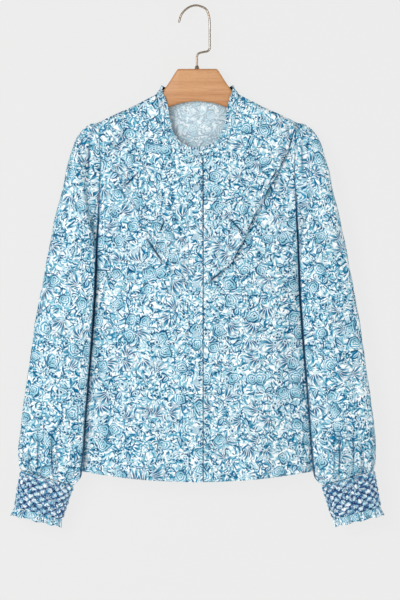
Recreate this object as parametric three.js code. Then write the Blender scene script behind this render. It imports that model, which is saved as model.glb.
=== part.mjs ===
// A long-sleeved blouse hanging on a wooden hanger.
// Millimetres, +Z up, the front facing -Y. The origin is where the hook rests on a rail.
// Cloth is a thin wall made from a grid of outer points; seams keep a small gap.
import * as THREE from "three";

// Driving dimensions
const CLOTH = 1.4;
const SEAM_GAP = 0.35;
const LAY_GAP = 0.7;
const SHOULDER_X = 160;
const SHOULDER_Z = -187;
const NECK_SIDE_X = 66;
const NECK_SIDE_Z = -141;
const NECK_FRONT_Z = -242;
const NECK_BACK_Z = -149;
const ARMPIT_X = 172;
const ARMPIT_Z = -345;
const HEM_SIDE_X = 210;
const HEM_SIDE_Z = -742;
const HEM_CENTRE_Z = -763;
const SHOULDER_ROLL = 9;
const SIDE_ROUND = 140;
const SIDE_SEAM_Y = 1.6;
const ARMHOLE_SPREAD = 10;
const ARMHOLE_BULGE = 3;
const CENTRE_X = -2.4;
const PLACKET_WIDTH = 24;
const HEM_WAVE = 2.2;
const HEM_WAVE_LENGTH = 92;
const HANG_POINT_X = -3;

const BLUE_PRINT = { color: 0x86b9d3, roughness: 0.85, metalness: 0 };
const SMOCK_PRINT = { color: 0x5f8fb8, roughness: 0.85, metalness: 0 };
const BUTTON_WHITE = { color: 0xeef3f5, roughness: 0.35, metalness: 0 };
const BEECH = { color: 0xd9a26c, roughness: 0.55, metalness: 0 };
const WIRE = { color: 0xb9ab9c, roughness: 0.3, metalness: 0.9 };

// Half of the depth of the body, front and back, by height
const BODY_DEPTH = [
  { z: -120, front: 10.8, back: 10.8 },
  { z: -190, front: 12.5, back: 11.8 },
  { z: -242, front: 15, back: 13 },
  { z: -345, front: 23, back: 16 },
  { z: -500, front: 29, back: 19 },
  { z: -763, front: 35, back: 22 },
];

// The neckline seam of one half of the front, from the centre to the side of the neck
const FRONT_NECK = [
  { x: 0, z: NECK_FRONT_Z },
  { x: 17, z: -240 },
  { x: 33, z: -232.5 },
  { x: 46, z: -220 },
  { x: 54.5, z: -203 },
  { x: 60, z: -180 },
  { x: 63.5, z: -160 },
  { x: 65.5, z: -148 },
  { x: NECK_SIDE_X, z: NECK_SIDE_Z },
];
const BACK_NECK = [
  { x: 0, z: NECK_BACK_Z },
  { x: 30, z: -148 },
  { x: 52, z: -145.5 },
  { x: NECK_SIDE_X, z: NECK_SIDE_Z },
];
const SHOULDER_LINE = [
  { x: 50, z: -131 },
  { x: NECK_SIDE_X, z: NECK_SIDE_Z },
  { x: 88, z: -152.5 },
  { x: 110, z: -163.5 },
  { x: 136, z: -175 },
  { x: SHOULDER_X, z: SHOULDER_Z },
];
// The outer edge of the body, from the shoulder down the armhole and the side seam
const BODY_EDGE = [
  { z: SHOULDER_Z, x: SHOULDER_X },
  { z: -205, x: 157.8 },
  { z: -230, x: 156.2 },
  { z: -260, x: 155.6 },
  { z: -290, x: 156.8 },
  { z: -315, x: 160 },
  { z: -333, x: 165.5 },
  { z: ARMPIT_Z, x: ARMPIT_X },
  { z: -420, x: 180 },
  { z: -560, x: 194 },
  { z: HEM_SIDE_Z, x: HEM_SIDE_X },
];

// Small helpers for tables and curves
function lerp(a, b, t) {
  return a + (b - a) * t;
}
function clamp01(t) {
  return Math.min(Math.max(t, 0), 1);
}
function smooth(t) {
  const c = clamp01(t);
  return c * c * (3 - 2 * c);
}
function quarterRound(t) {
  return Math.sqrt(1 - (1 - clamp01(t)) ** 2);
}
// Reads a column of a table sorted by key, with straight lines between its rows
function readTable(table, key, value, at) {
  const rising = table[table.length - 1][key] > table[0][key];
  const row = table.findIndex((r) => (rising ? r[key] >= at : r[key] <= at));
  if (row === 0) return table[0][value];
  if (row < 0) return table[table.length - 1][value];
  const a = table[row - 1];
  const b = table[row];
  return lerp(a[value], b[value], (at - a[key]) / (b[key] - a[key]));
}
// A smooth line through the x, z points of a table, read evenly along its length
function smoothLine(table) {
  return new THREE.CatmullRomCurve3(
    table.map((p) => new THREE.Vector3(p.x, 0, p.z)),
    false,
    "centripetal",
  );
}

// Closed walls
// A wall between two grids of points, outer[i][j] and inner[i][j]; a loop joins its last column to its first
function wallGeometry(outer, inner, loop = false) {
  const columns = outer.length;
  const rows = outer[0].length;
  const points = [];
  for (const grid of [outer, inner]) for (const column of grid) points.push(...column);
  const id = (layer, i, j) => layer * columns * rows + (i % columns) * rows + j;
  const faces = [];
  const quad = (a, b, c, d) => faces.push([a, b, c], [a, c, d]);
  const spans = loop ? columns : columns - 1;
  for (let i = 0; i < spans; i += 1) {
    for (let j = 0; j < rows - 1; j += 1) {
      quad(id(0, i, j), id(0, i + 1, j), id(0, i + 1, j + 1), id(0, i, j + 1));
      quad(id(1, i, j), id(1, i, j + 1), id(1, i + 1, j + 1), id(1, i + 1, j));
    }
    quad(id(0, i + 1, 0), id(0, i, 0), id(1, i, 0), id(1, i + 1, 0));
    const e = rows - 1;
    quad(id(0, i, e), id(0, i + 1, e), id(1, i + 1, e), id(1, i, e));
  }
  if (!loop) {
    const e = columns - 1;
    for (let j = 0; j < rows - 1; j += 1) {
      quad(id(0, 0, j), id(0, 0, j + 1), id(1, 0, j + 1), id(1, 0, j));
      quad(id(0, e, j + 1), id(0, e, j), id(1, e, j), id(1, e, j + 1));
    }
  }
  const volume = faces.reduce((sum, [a, b, c]) => {
    const cross = new THREE.Vector3().crossVectors(points[b], points[c]);
    return sum + points[a].dot(cross);
  }, 0);
  const index = faces.flatMap(([a, b, c]) => (volume > 0 ? [a, b, c] : [a, c, b]));
  const geometry = new THREE.BufferGeometry().setFromPoints(points);
  geometry.setIndex(index);
  return geometry;
}
// Unit normals of a grid, turned to point the way of a guide at each point
function gridNormals(grid, guide, loop = false) {
  const columns = grid.length;
  const last = columns - 1;
  return grid.map((column, i) =>
    column.map((point, j) => {
      const before = grid[loop ? (i + last) % columns : Math.max(i - 1, 0)][j];
      const after = grid[loop ? (i + 1) % columns : Math.min(i + 1, last)][j];
      const up = column[Math.max(j - 1, 0)];
      const down = column[Math.min(j + 1, column.length - 1)];
      const normal = new THREE.Vector3()
        .subVectors(after, before)
        .cross(new THREE.Vector3().subVectors(down, up))
        .normalize();
      return normal.dot(guide(point, i, j)) < 0 ? normal.negate() : normal;
    }),
  );
}
// The inner points of a wall: each outer point moved against its normal
function movedIn(grid, normals, thickness) {
  return grid.map((column, i) =>
    column.map((p, j) => p.clone().addScaledVector(normals[i][j], -thickness)),
  );
}
function meshOf(name, geometry, finish) {
  const mesh = new THREE.Mesh(geometry, new THREE.MeshStandardMaterial(finish));
  mesh.name = name;
  return mesh;
}

// The body's outer surface
function armholeSpread(z) {
  const t = clamp01((SHOULDER_Z - z) / (SHOULDER_Z - ARMPIT_Z));
  return SIDE_SEAM_Y + ARMHOLE_SPREAD * Math.sqrt(1 - t * t) + ARMHOLE_BULGE * Math.sin(Math.PI * t);
}
// How far the front or the back stands from the middle plane at a place on the cloth
function bodyDepth(x, z, face) {
  const across = Math.abs(x);
  const drop = readTable(SHOULDER_LINE, "x", "z", across) - z;
  const roll = quarterRound(drop / SHOULDER_ROLL);
  const inFromEdge = Math.max(readTable(BODY_EDGE, "z", "x", z) - across, 0);
  const edge = armholeSpread(z);
  const middle = readTable(BODY_DEPTH, "z", face, z);
  const crown = 1 - (1 - clamp01(inFromEdge / SIDE_ROUND)) ** 2;
  const wave =
    HEM_WAVE * smooth((-480 - z) / 260) * smooth(inFromEdge / 90) *
    Math.cos((2 * Math.PI * (x + (face === "back" ? 30 : 0))) / HEM_WAVE_LENGTH);
  const seam = SEAM_GAP / 2;
  return seam + roll * (edge - seam + Math.max(middle - edge, 0) * crown + wave);
}
function bodyPoint(x, z, face, lift = 0) {
  const y = bodyDepth(x, z, face) + lift;
  return new THREE.Vector3(x, face === "front" ? -y : y, z);
}

// Fronts and back
const ARMHOLE_ROWS = [0, 0.004, 0.013, 0.03, 0.065, 0.11, 0.165, 0.225, 0.283];
const LOWER_ROWS = [0.36, 0.45, 0.55, 0.66, 0.77, 0.88, 1];
const BODY_ROWS = [...ARMHOLE_ROWS, ...LOWER_ROWS];
const NECK_SHARE = 0.5;

function topOfPanel(neck, u) {
  const neckLine = smoothLine(neck);
  const shoulder = smoothLine(SHOULDER_LINE.slice(1));
  return u < NECK_SHARE
    ? neckLine.getPointAt(u / NECK_SHARE)
    : shoulder.getPointAt((u - NECK_SHARE) / (1 - NECK_SHARE));
}
function hemZ(x) {
  return lerp(HEM_CENTRE_Z, HEM_SIDE_Z, (Math.abs(x) / HEM_SIDE_X) ** 2);
}
// A place on one half of a panel, from the centre (u 0) to the edge (u 1) and the top (v 0) to the hem (v 1)
function panelPlace(neck, centre, u, v) {
  const top = topOfPanel(neck, u);
  const edgeTop = { x: SHOULDER_X, z: SHOULDER_Z };
  const edgeZ = lerp(edgeTop.z, HEM_SIDE_Z, v);
  const edgeX = readTable(BODY_EDGE, "z", "x", edgeZ);
  const straightEdgeX = lerp(edgeTop.x, HEM_SIDE_X, v);
  const topX = top.x + centre * (1 - smooth(top.x / 45));
  const hemX = lerp(centre, HEM_SIDE_X, u);
  const x = lerp(u === 0 ? centre : topX, hemX, v) + u * u * (edgeX - straightEdgeX);
  return { x: u === 1 ? edgeX : x, z: lerp(top.z, hemZ(hemX), v) };
}
const FRONT_NECK_COLUMNS = [0, 0.06, 0.12, 0.18, 0.24, 0.31, 0.39, 0.455, 0.485, 0.5];
const FRONT_COLUMNS = [...FRONT_NECK_COLUMNS, 0.58, 0.68, 0.78, 0.88, 0.95, 1];
const BACK_HALF_COLUMNS = [0, 0.22, 0.4, 0.46, 0.487, 0.5, 0.62, 0.76, 0.9, 1];
function frontCentre(side) {
  return side * CENTRE_X + SEAM_GAP / 2;
}

function edgeFlat(normals) {
  for (const n of normals[normals.length - 1]) if (Math.abs(n.z) < 0.4) n.setZ(0).normalize();
}
function frontPanel(name, side) {
  const centre = frontCentre(side);
  const outer = FRONT_COLUMNS.map((u) =>
    BODY_ROWS.map((v) => {
      const place = panelPlace(FRONT_NECK, centre, u, v);
      return bodyPoint(side * place.x, place.z, "front");
    }),
  );
  const normals = gridNormals(outer, () => new THREE.Vector3(0, -1, 0.3));
  outer.forEach((column, i) => {
    if (FRONT_COLUMNS[i] >= NECK_SHARE) normals[i][0].setY(0).normalize();
  });
  edgeFlat(normals);
  for (const n of normals[0]) n.setX(0).normalize();
  return meshOf(name, wallGeometry(outer, movedIn(outer, normals, CLOTH)), BLUE_PRINT);
}
function backPanel(name) {
  const half = BACK_HALF_COLUMNS.map((u) => BODY_ROWS.map((v) => ({ u, v })));
  const column = (cells, side) =>
    cells.map(({ u, v }) => {
      const place = panelPlace(BACK_NECK, 0, u, v);
      return bodyPoint(side * place.x, place.z, "back");
    });
  const left = half.slice(1).reverse().map((cells) => column(cells, -1));
  const outer = [...left, ...half.map((cells) => column(cells, 1))];
  const normals = gridNormals(outer, () => new THREE.Vector3(0, 1, 0.3));
  const shares = [...BACK_HALF_COLUMNS.slice(1).reverse(), ...BACK_HALF_COLUMNS];
  outer.forEach((points, i) => {
    if (shares[i] >= NECK_SHARE) normals[i][0].setY(0).normalize();
  });
  edgeFlat(normals);
  edgeFlat([...normals].reverse());
  return meshOf(name, wallGeometry(outer, movedIn(outer, normals, CLOTH)), BLUE_PRINT);
}

// The placket lies on the fronts
const PLACKET_TOP_Z = NECK_FRONT_Z - 1.2;
function placket(name) {
  const rows = 20;
  const outer = [-0.5, 0, 0.5].map((share) =>
    Array.from({ length: rows + 1 }, (_, j) => {
      const x = CENTRE_X + share * PLACKET_WIDTH;
      const z = lerp(PLACKET_TOP_Z, hemZ(x), j / rows);
      return bodyPoint(x, z, "front", LAY_GAP + CLOTH);
    }),
  );
  const inner = outer.map((column) => column.map((p) => p.clone().setY(p.y + CLOTH)));
  return meshOf(name, wallGeometry(outer, inner), BLUE_PRINT);
}

// The neck band and its frill follow the neckline seam, all the way round
const BAND_HEIGHT = 8.8;
const FRILL_HEIGHT = 5.6;
const FRILL_WAVES = 24;
const FRILL_WAVE_DEPTH = 1.2;

// The seam round the neck through the panels' own top points: the left front, the back, the right front
function neckSeam() {
  const run = (neck, columns, centre, face, side) => {
    const used = columns.filter((u) => u <= NECK_SHARE);
    return used.map((u) => {
      const place = panelPlace(neck, centre, u, 0);
      return bodyPoint(side * place.x, place.z, face);
    });
  };
  const leftFront = run(FRONT_NECK, FRONT_COLUMNS, frontCentre(1), "front", 1);
  const leftBack = run(BACK_NECK, BACK_HALF_COLUMNS, 0, "back", 1);
  const rightBack = run(BACK_NECK, BACK_HALF_COLUMNS, 0, "back", -1);
  const rightFront = run(FRONT_NECK, FRONT_COLUMNS, frontCentre(-1), "front", -1);
  const back = [...leftBack.reverse().slice(1), ...rightBack.slice(1, -1)];
  return [...leftFront, ...back, ...rightFront.reverse()];
}
function nearShoulder(point) {
  return smooth((point.z + 178) / 28) * smooth((Math.abs(point.x) - 40) / 22);
}
// The way that the band stands at a point of the seam: into the opening, and upright at the back
function bandDirection(seam, i) {
  const point = seam[i];
  const before = seam[Math.max(i - 1, 0)];
  const after = seam[Math.min(i + 1, seam.length - 1)];
  const along = after.clone().sub(before).setY(0);
  const inPlane = new THREE.Vector3(along.z, 0, -along.x).normalize();
  if (inPlane.dot(new THREE.Vector3(-point.x, 0, -150 - point.z)) < 0) inPlane.negate();
  const sideLean = new THREE.Vector3(-Math.sign(point.x) * 0.55, 0, 0.83);
  const upright = new THREE.Vector3(0, 0, 1);
  const atSide = nearShoulder(point);
  const atBack = smooth((point.y + 2) / 8);
  return inPlane
    .lerp(sideLean, atSide)
    .lerp(upright, atBack * (1 - atSide))
    .normalize();
}
// Points at given heights above the seam, with a little slack where the seam turns over the shoulder
function bandStrip(heights, slack) {
  const seam = neckSeam();
  return seam.map((base, i) => {
    const direction = bandDirection(seam, i);
    if (i === 0 || i === seam.length - 1) direction.set(0, 0, 1);
    const extra = slack * nearShoulder(base);
    return heights.map((h) => base.clone().addScaledVector(direction, h + extra));
  });
}
// The same strip read at even steps along its lower edge
function evenStrip(strip, columns) {
  const lengths = strip.slice(1).map((column, i) => column[0].distanceTo(strip[i][0]));
  const total = lengths.reduce((a, b) => a + b, 0);
  return Array.from({ length: columns + 1 }, (_, c) => {
    let left = (c / columns) * total;
    let i = 0;
    while (i < lengths.length - 1 && left > lengths[i]) {
      left -= lengths[i];
      i += 1;
    }
    const t = clamp01(left / lengths[i]);
    return strip[i].map((point, j) => point.clone().lerp(strip[i + 1][j], t));
  });
}
function fromNeckAxis(point) {
  return new THREE.Vector3(point.x * 0.4, point.y * 5, 12);
}
function neckBand(name) {
  const outer = bandStrip([SEAM_GAP + 0.1, BAND_HEIGHT], 0.95);
  const normals = gridNormals(outer, fromNeckAxis);
  return meshOf(name, wallGeometry(outer, movedIn(outer, normals, CLOTH)), BLUE_PRINT);
}
function neckFrill(name) {
  const low = BAND_HEIGHT + SEAM_GAP + 0.2;
  const columns = FRILL_WAVES * 3;
  const plain = evenStrip(bandStrip([low, low + FRILL_HEIGHT], 1.8), columns);
  const normals = gridNormals(plain, fromNeckAxis);
  const outer = plain.map(([foot, tip], i) => {
    const wave = FRILL_WAVE_DEPTH * Math.sin((2 * Math.PI * i * FRILL_WAVES) / columns);
    return [foot, tip.clone().addScaledVector(normals[i][1], wave)];
  });
  return meshOf(name, wallGeometry(outer, movedIn(outer, normals, CLOTH - 0.2)), BLUE_PRINT);
}

// The V-shaped ruffles: their seam and their free edge, from the armhole to the placket
const RUFFLE_SEAM = [
  { x: 145, z: -192 },
  { x: 133, z: -197 },
  { x: 116, z: -209 },
  { x: 100, z: -228 },
  { x: 87, z: -256 },
  { x: 73, z: -284 },
  { x: 57, z: -307 },
  { x: 39, z: -330 },
  { x: 23, z: -355 },
  { x: 9, z: -379 },
];
const RUFFLE_EDGE = [
  { x: 150, z: -227 },
  { x: 142, z: -240 },
  { x: 132, z: -262 },
  { x: 117.6, z: -289 },
  { x: 101.6, z: -319 },
  { x: 88.8, z: -344 },
  { x: 77.6, z: -368 },
  { x: 60, z: -404 },
  { x: 37, z: -429 },
  { x: 9, z: -450 },
];
const RUFFLE_WAVES = 11;
const RUFFLE_COLUMNS = 33;
const RUFFLE_LIFT = 1.6;
const RUFFLE_WAVE_DEPTH = 4.6;

function ruffle(name, side) {
  const seam = smoothLine(RUFFLE_SEAM);
  const edge = smoothLine(RUFFLE_EDGE);
  const placketEdge = PLACKET_WIDTH / 2 + side * CENTRE_X + 0.7;
  const outer = Array.from({ length: RUFFLE_COLUMNS + 1 }, (_, i) => {
    const t = i / RUFFLE_COLUMNS;
    const from = seam.getPointAt(t);
    const to = edge.getPointAt(t);
    return [0, 0.34, 0.68, 1].map((w) => {
      const x = Math.max(lerp(from.x, to.x, w), placketEdge);
      const z = lerp(from.z, to.z, w);
      const fade = smooth(t / 0.08) * smooth((1 - t) / 0.06);
      const wave = 0.5 - 0.5 * Math.cos(2 * Math.PI * RUFFLE_WAVES * t);
      const lift = w * (RUFFLE_LIFT + RUFFLE_WAVE_DEPTH * wave * fade);
      return bodyPoint(side * x, z, "front", LAY_GAP + CLOTH + lift);
    });
  });
  const inner = outer.map((column) => column.map((p) => p.clone().setY(p.y + CLOTH)));
  return meshOf(name, wallGeometry(outer, inner), BLUE_PRINT);
}

// Sleeves: each row is a ring across the sleeve, from its outer to its inner edge
const SLEEVE_RINGS = [
  { outX: 173, outZ: -190.5, inX: 174, inZ: -348, middleY: -1, depth: 16 },
  { outX: 185, outZ: -199, inX: 175.4, inZ: -352, middleY: -2, depth: 18.5 },
  { outX: 194.5, outZ: -213, inX: 174.4, inZ: -357, middleY: -6.5, depth: 19.5 },
  { outX: 202, outZ: -234, inX: 172.6, inZ: -365, middleY: -12, depth: 19 },
  { outX: 210, outZ: -262, inX: 168.6, inZ: -379, middleY: -16, depth: 18 },
  { outX: 216.5, outZ: -296, inX: 165, inZ: -397, middleY: -19, depth: 17 },
  { outX: 227, outZ: -336, inX: 163.6, inZ: -420, middleY: -20.5, depth: 16 },
  { outX: 237, outZ: -385, inX: 163.8, inZ: -452, middleY: -21.5, depth: 15 },
  { outX: 248, outZ: -445, inX: 167, inZ: -495, middleY: -22.5, depth: 14.5 },
  { outX: 260, outZ: -510, inX: 170.4, inZ: -545, middleY: -23.5, depth: 14.5 },
  { outX: 269, outZ: -575, inX: 175, inZ: -600, middleY: -24.5, depth: 15 },
  { outX: 278.5, outZ: -638, inX: 179.6, inZ: -655, middleY: -25.5, depth: 16 },
  { outX: 284.5, outZ: -692, inX: 182.6, inZ: -703, middleY: -26, depth: 17 },
  { outX: 285.4, outZ: -718, inX: 183.8, inZ: -733, middleY: -25.5, depth: 17 },
  { outX: 284, outZ: -734, inX: 187.5, inZ: -754, middleY: -24, depth: 15.5 },
  { outX: 281.5, outZ: -744, inX: 199, inZ: -768.5, middleY: -22.5, depth: 12.5 },
];
const SLEEVE_COLUMNS = 20;
const GATHER_WAVES = 6;
const GATHER_DEPTH = 2.4;
const HEAD_PLEATS = [
  { angle: 0.5, depth: 2.6 },
  { angle: 1.02, depth: 1.8 },
];

// A point of a ring: angle 0 is the outer edge, a quarter turn the front and a half turn the inner edge
function ringPoint(ring, angle, side, grow = 0) {
  const outer = new THREE.Vector3(ring.outX, ring.middleY, ring.outZ);
  const inner = new THREE.Vector3(ring.inX, ring.middleY, ring.inZ);
  const middle = outer.clone().lerp(inner, 0.5);
  const half = outer.clone().sub(middle);
  const length = half.length() + grow;
  const square = (v) => Math.sign(v) * Math.abs(v) ** 0.82;
  middle.addScaledVector(half.normalize(), length * Math.cos(angle));
  middle.y -= (ring.depth + grow) * square(Math.sin(angle));
  middle.x *= side;
  return middle;
}
// The edge of the armhole on the front or the back, as the panel's own straight pieces, by share of its length
function armholePoint(face, share, side) {
  const edge = ARMHOLE_ROWS.map((v) => {
    const place = panelPlace(face === "front" ? FRONT_NECK : BACK_NECK, 0, 1, v);
    return bodyPoint(side * place.x, place.z, face);
  });
  const lengths = edge.slice(1).map((p, i) => p.distanceTo(edge[i]));
  let left = share * lengths.reduce((a, b) => a + b, 0);
  const span = lengths.findIndex((l) => {
    if (left <= l) return true;
    left -= l;
    return false;
  });
  const i = span < 0 ? lengths.length - 1 : span;
  return edge[i].clone().lerp(edge[i + 1], clamp01(left / lengths[i]));
}
function armholeRingPoint(column, side) {
  const turn = column / SLEEVE_COLUMNS;
  const face = turn <= 0.5 ? "front" : "back";
  const share = turn <= 0.5 ? turn * 2 : (1 - turn) * 2;
  const point = armholePoint(face, share, side);
  if (turn === 0 || turn === 0.5) point.y = 0;
  point.x += side * (SEAM_GAP + 0.15);
  return point;
}
function sleeve(name, side) {
  const grow = (column, row) => {
    const angle = (2 * Math.PI * column) / SLEEVE_COLUMNS;
    const gathers = smooth((row - 10) / 4);
    const wave = Math.cos(angle * GATHER_WAVES) * GATHER_DEPTH * gathers * (row === 15 ? 0.6 : 1);
    const head = 1 - smooth(row / 4);
    const pleat = HEAD_PLEATS.reduce((sum, p) => {
      const away = Math.min(Math.abs(angle - p.angle), Math.abs(2 * Math.PI - angle - p.angle));
      return sum - p.depth * head * Math.exp(-((away / 0.16) ** 2));
    }, 0);
    return wave + pleat;
  };
  const outer = Array.from({ length: SLEEVE_COLUMNS }, (_, i) => {
    const angle = (2 * Math.PI * i) / SLEEVE_COLUMNS;
    const rings = SLEEVE_RINGS.map((ring, row) => ringPoint(ring, angle, side, grow(i, row)));
    return [armholeRingPoint(i, side), ...rings];
  });
  const inner = Array.from({ length: SLEEVE_COLUMNS }, (_, i) => {
    const angle = (2 * Math.PI * i) / SLEEVE_COLUMNS;
    const rings = SLEEVE_RINGS.map((ring, row) => {
      return ringPoint(ring, angle, side, grow(i, row) - CLOTH);
    });
    const edge = armholeRingPoint(i, side);
    const heart = new THREE.Vector3(edge.x, 0, (SHOULDER_Z + ARMPIT_Z) / 2);
    const inwards = heart.sub(edge);
    const bySide = Math.abs(edge.y) > 3 ? new THREE.Vector3(0, -Math.sign(edge.y), 0) : null;
    return [edge.addScaledVector((bySide ?? inwards).normalize(), CLOTH), ...rings];
  });
  return meshOf(name, wallGeometry(outer, inner, true), BLUE_PRINT);
}

// Smocked cuffs: puffs raised in the outer points over a plain inside
const CUFF_TOP = { outX: 282, outZ: -744.6, inX: 199.6, inZ: -769.4, middleY: -22.5, depth: 12 };
const CUFF_END = { outX: 292.3, outZ: -803, inX: 217.4, inZ: -822.6, middleY: -21, depth: 11 };
const PUFFS_ROUND = 14;
const PUFF_ROWS = 5;
const PUFF_HEIGHT = 2;
const CUFF_FRILL_LENGTH = 12;
const CUFF_FRILL_WAVES = 14;
const CUFF_FRILL_DEPTH = 2.4;

function ringBetween(a, b, t) {
  return Object.fromEntries(Object.keys(a).map((key) => [key, lerp(a[key], b[key], t)]));
}
function cuff(name, side) {
  const columns = PUFFS_ROUND * 2;
  const rows = PUFF_ROWS * 2;
  const made = (height, thickness) =>
    Array.from({ length: columns }, (_, i) =>
      Array.from({ length: rows + 1 }, (_, j) => {
        const ring = ringBetween(CUFF_TOP, CUFF_END, j / rows);
        const angle = (2 * Math.PI * i) / columns;
        const raised = (i + j) % 2 === 0 && j > 0 && j < rows ? height : 0;
        return ringPoint(ring, angle, side, raised - thickness);
      }),
    );
  const outer = made(PUFF_HEIGHT, 0);
  return meshOf(name, wallGeometry(outer, made(0, CLOTH), true), SMOCK_PRINT);
}
function cuffFrill(name, side) {
  const columns = CUFF_FRILL_WAVES * 4;
  const start = ringBetween(CUFF_TOP, CUFF_END, 1.008);
  const reach = CUFF_FRILL_LENGTH / Math.hypot(14, 56);
  const end = ringBetween(CUFF_TOP, CUFF_END, 1.008 + reach);
  end.outX += 2.5;
  end.inX -= 1;
  end.depth += 2.5;
  const made = (thickness) =>
    Array.from({ length: columns }, (_, i) => {
      const angle = (2 * Math.PI * i) / columns;
      const wave = CUFF_FRILL_DEPTH * Math.sin((2 * Math.PI * i * CUFF_FRILL_WAVES) / columns);
      return [
        ringPoint(start, angle, side, -thickness),
        ringPoint(end, angle, side, wave - thickness),
      ];
    });
  return meshOf(name, wallGeometry(made(0), made(CLOTH - 0.2), true), BLUE_PRINT);
}

// Buttons
const BUTTON_RADIUS = 5;
const BUTTON_THICKNESS = 2;
const BUTTON_RIM = 0.5;
const NECK_BUTTON_Z = -235;
const FIRST_BUTTON_Z = -293;
const BUTTON_STEP = 77.6;
const PLACKET_BUTTONS = 6;

function button(name, z, lift) {
  const profile = [
    [0, 0],
    [BUTTON_RADIUS - 0.6, 0],
    [BUTTON_RADIUS, 0.8],
    [BUTTON_RADIUS - 0.5, BUTTON_THICKNESS],
    [BUTTON_RADIUS - 1.4, BUTTON_THICKNESS],
    [BUTTON_RADIUS - 1.9, BUTTON_THICKNESS - BUTTON_RIM],
    [0, BUTTON_THICKNESS - BUTTON_RIM],
  ].map(([r, h]) => new THREE.Vector2(r, h));
  const mesh = meshOf(name, new THREE.LatheGeometry(profile, 10), BUTTON_WHITE);
  const seat = bodyPoint(CENTRE_X, z, "front", lift + SEAM_GAP + 0.2);
  mesh.position.copy(seat);
  mesh.rotation.set(Math.PI, 0, 0);
  return mesh;
}
function buttons() {
  const onPlacket = Array.from({ length: PLACKET_BUTTONS }, (_, i) =>
    button(`button_${i + 2}`, FIRST_BUTTON_Z - i * BUTTON_STEP, LAY_GAP + CLOTH),
  );
  return [button("button_1", NECK_BUTTON_Z, 0.5), ...onPlacket];
}

// The hanger: a flat wooden body whose arms lie inside the shoulders
const WOOD_THICKNESS = 14;
const WOOD_EDGE = 2;
const ARM_UNDER_SEAM = 4.3;
const PLATE_TOP_Z = -100.5;
const PLATE_TOP_X = 32.5;

function armTop(x) {
  return readTable(SHOULDER_LINE, "x", "z", x) - ARM_UNDER_SEAM;
}
function woodHalfOutline() {
  return [
    [0, PLATE_TOP_Z],
    [PLATE_TOP_X - 3, PLATE_TOP_Z],
    [PLATE_TOP_X, PLATE_TOP_Z - 1.5],
    [38, -110],
    [44.5, -120.5],
    [53, -132.5],
    [58.5, -139.6],
    [NECK_SIDE_X, armTop(NECK_SIDE_X)],
    [88, armTop(88)],
    [110, armTop(110)],
    [136, armTop(136)],
    [149, armTop(149)],
    [153, -189],
    [152, -195.5],
    [147, -199],
    [126, -193.5],
    [98, -183.5],
    [70, -171.5],
    [48.5, -163],
    [25, -155.2],
    [0, -152],
  ];
}
function hangerWood(name) {
  const half = woodHalfOutline();
  const mirrored = half.slice(1, -1).reverse().map(([x, z]) => [-x, z]);
  const shape = new THREE.Shape([...half, ...mirrored].map(([x, z]) => new THREE.Vector2(x, z)));
  const geometry = new THREE.ExtrudeGeometry(shape, {
    depth: WOOD_THICKNESS - 2 * WOOD_EDGE,
    bevelThickness: WOOD_EDGE,
    bevelSize: WOOD_EDGE,
    bevelOffset: -WOOD_EDGE,
    bevelSegments: 2,
  });
  geometry.translate(0, 0, -WOOD_THICKNESS / 2 + WOOD_EDGE);
  const mesh = meshOf(name, geometry, BEECH);
  mesh.rotation.x = Math.PI / 2;
  return mesh;
}

// The hook: one bent wire that stands in a small ferrule on the plate
const WIRE_RADIUS = 1.7;
const STEM_X = -0.8;
const FERRULE_HEIGHT = 5;
const FERRULE_RADIUS = 3.4;
const HOOK_ROUTE = [
  [STEM_X, -99.8],
  [STEM_X, -84],
  [STEM_X, -79.5],
  [1.8, -75.2],
  [9, -73],
  [16.6, -71.2],
  [19.7, -67],
  [19.7, -60],
  [19.7, -45],
  [19.6, -30],
  [18.6, -16],
  [14, -4.4],
  [6, 0.4],
  [-3, 2.2],
  [-12, 0],
  [-20, -5.5],
  [-26, -13],
  [-29.6, -24],
];
const HOOK_RISE = 0.4;

function hangerHook(name) {
  const points = HOOK_ROUTE.map(([x, z]) => new THREE.Vector3(x, 0, z - HOOK_RISE));
  const path = new THREE.CatmullRomCurve3(points, false, "centripetal");
  const circle = Array.from({ length: 8 }, (_, i) => {
    const turn = (Math.PI * i) / 4;
    return new THREE.Vector2(WIRE_RADIUS * Math.cos(turn), WIRE_RADIUS * Math.sin(turn));
  });
  const section = new THREE.Shape(circle);
  const geometry = new THREE.ExtrudeGeometry(section, { steps: 38, extrudePath: path });
  return meshOf(name, geometry, WIRE);
}
function hangerFerrule(name) {
  const bore = WIRE_RADIUS + 0.42;
  const profile = [
    [bore, 0],
    [FERRULE_RADIUS, 0],
    [FERRULE_RADIUS, FERRULE_HEIGHT - 2],
    [FERRULE_RADIUS - 1, FERRULE_HEIGHT],
    [bore, FERRULE_HEIGHT],
    [bore, 0],
  ].map(([r, h]) => new THREE.Vector2(r, h));
  const mesh = meshOf(name, new THREE.LatheGeometry(profile, 12), WIRE);
  mesh.rotation.x = Math.PI / 2;
  mesh.position.set(STEM_X, 0, PLATE_TOP_Z + 0.3);
  return mesh;
}

const blouse = new THREE.Group();
blouse.add(
  frontPanel("front_right", -1),
  frontPanel("front_left", 1),
  backPanel("back"),
  placket("placket"),
  neckBand("neck_band"),
  neckFrill("neck_frill"),
  ruffle("ruffle_right", -1),
  ruffle("ruffle_left", 1),
  sleeve("sleeve_right", -1),
  sleeve("sleeve_left", 1),
  cuff("cuff_right", -1),
  cuff("cuff_left", 1),
  cuffFrill("cuff_frill_right", -1),
  cuffFrill("cuff_frill_left", 1),
  ...buttons(),
  hangerWood("hanger_wood"),
  hangerHook("hanger_hook"),
  hangerFerrule("hanger_ferrule"),
);
for (const mesh of blouse.children) mesh.position.x -= HANG_POINT_X;
export default blouse;
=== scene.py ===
"""Looks of a long-sleeved printed blouse that hangs on a wooden hanger.

Sizes are in millimetres while a shape is worked out and in metres in the meshes. The front faces -Y.
"""

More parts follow.
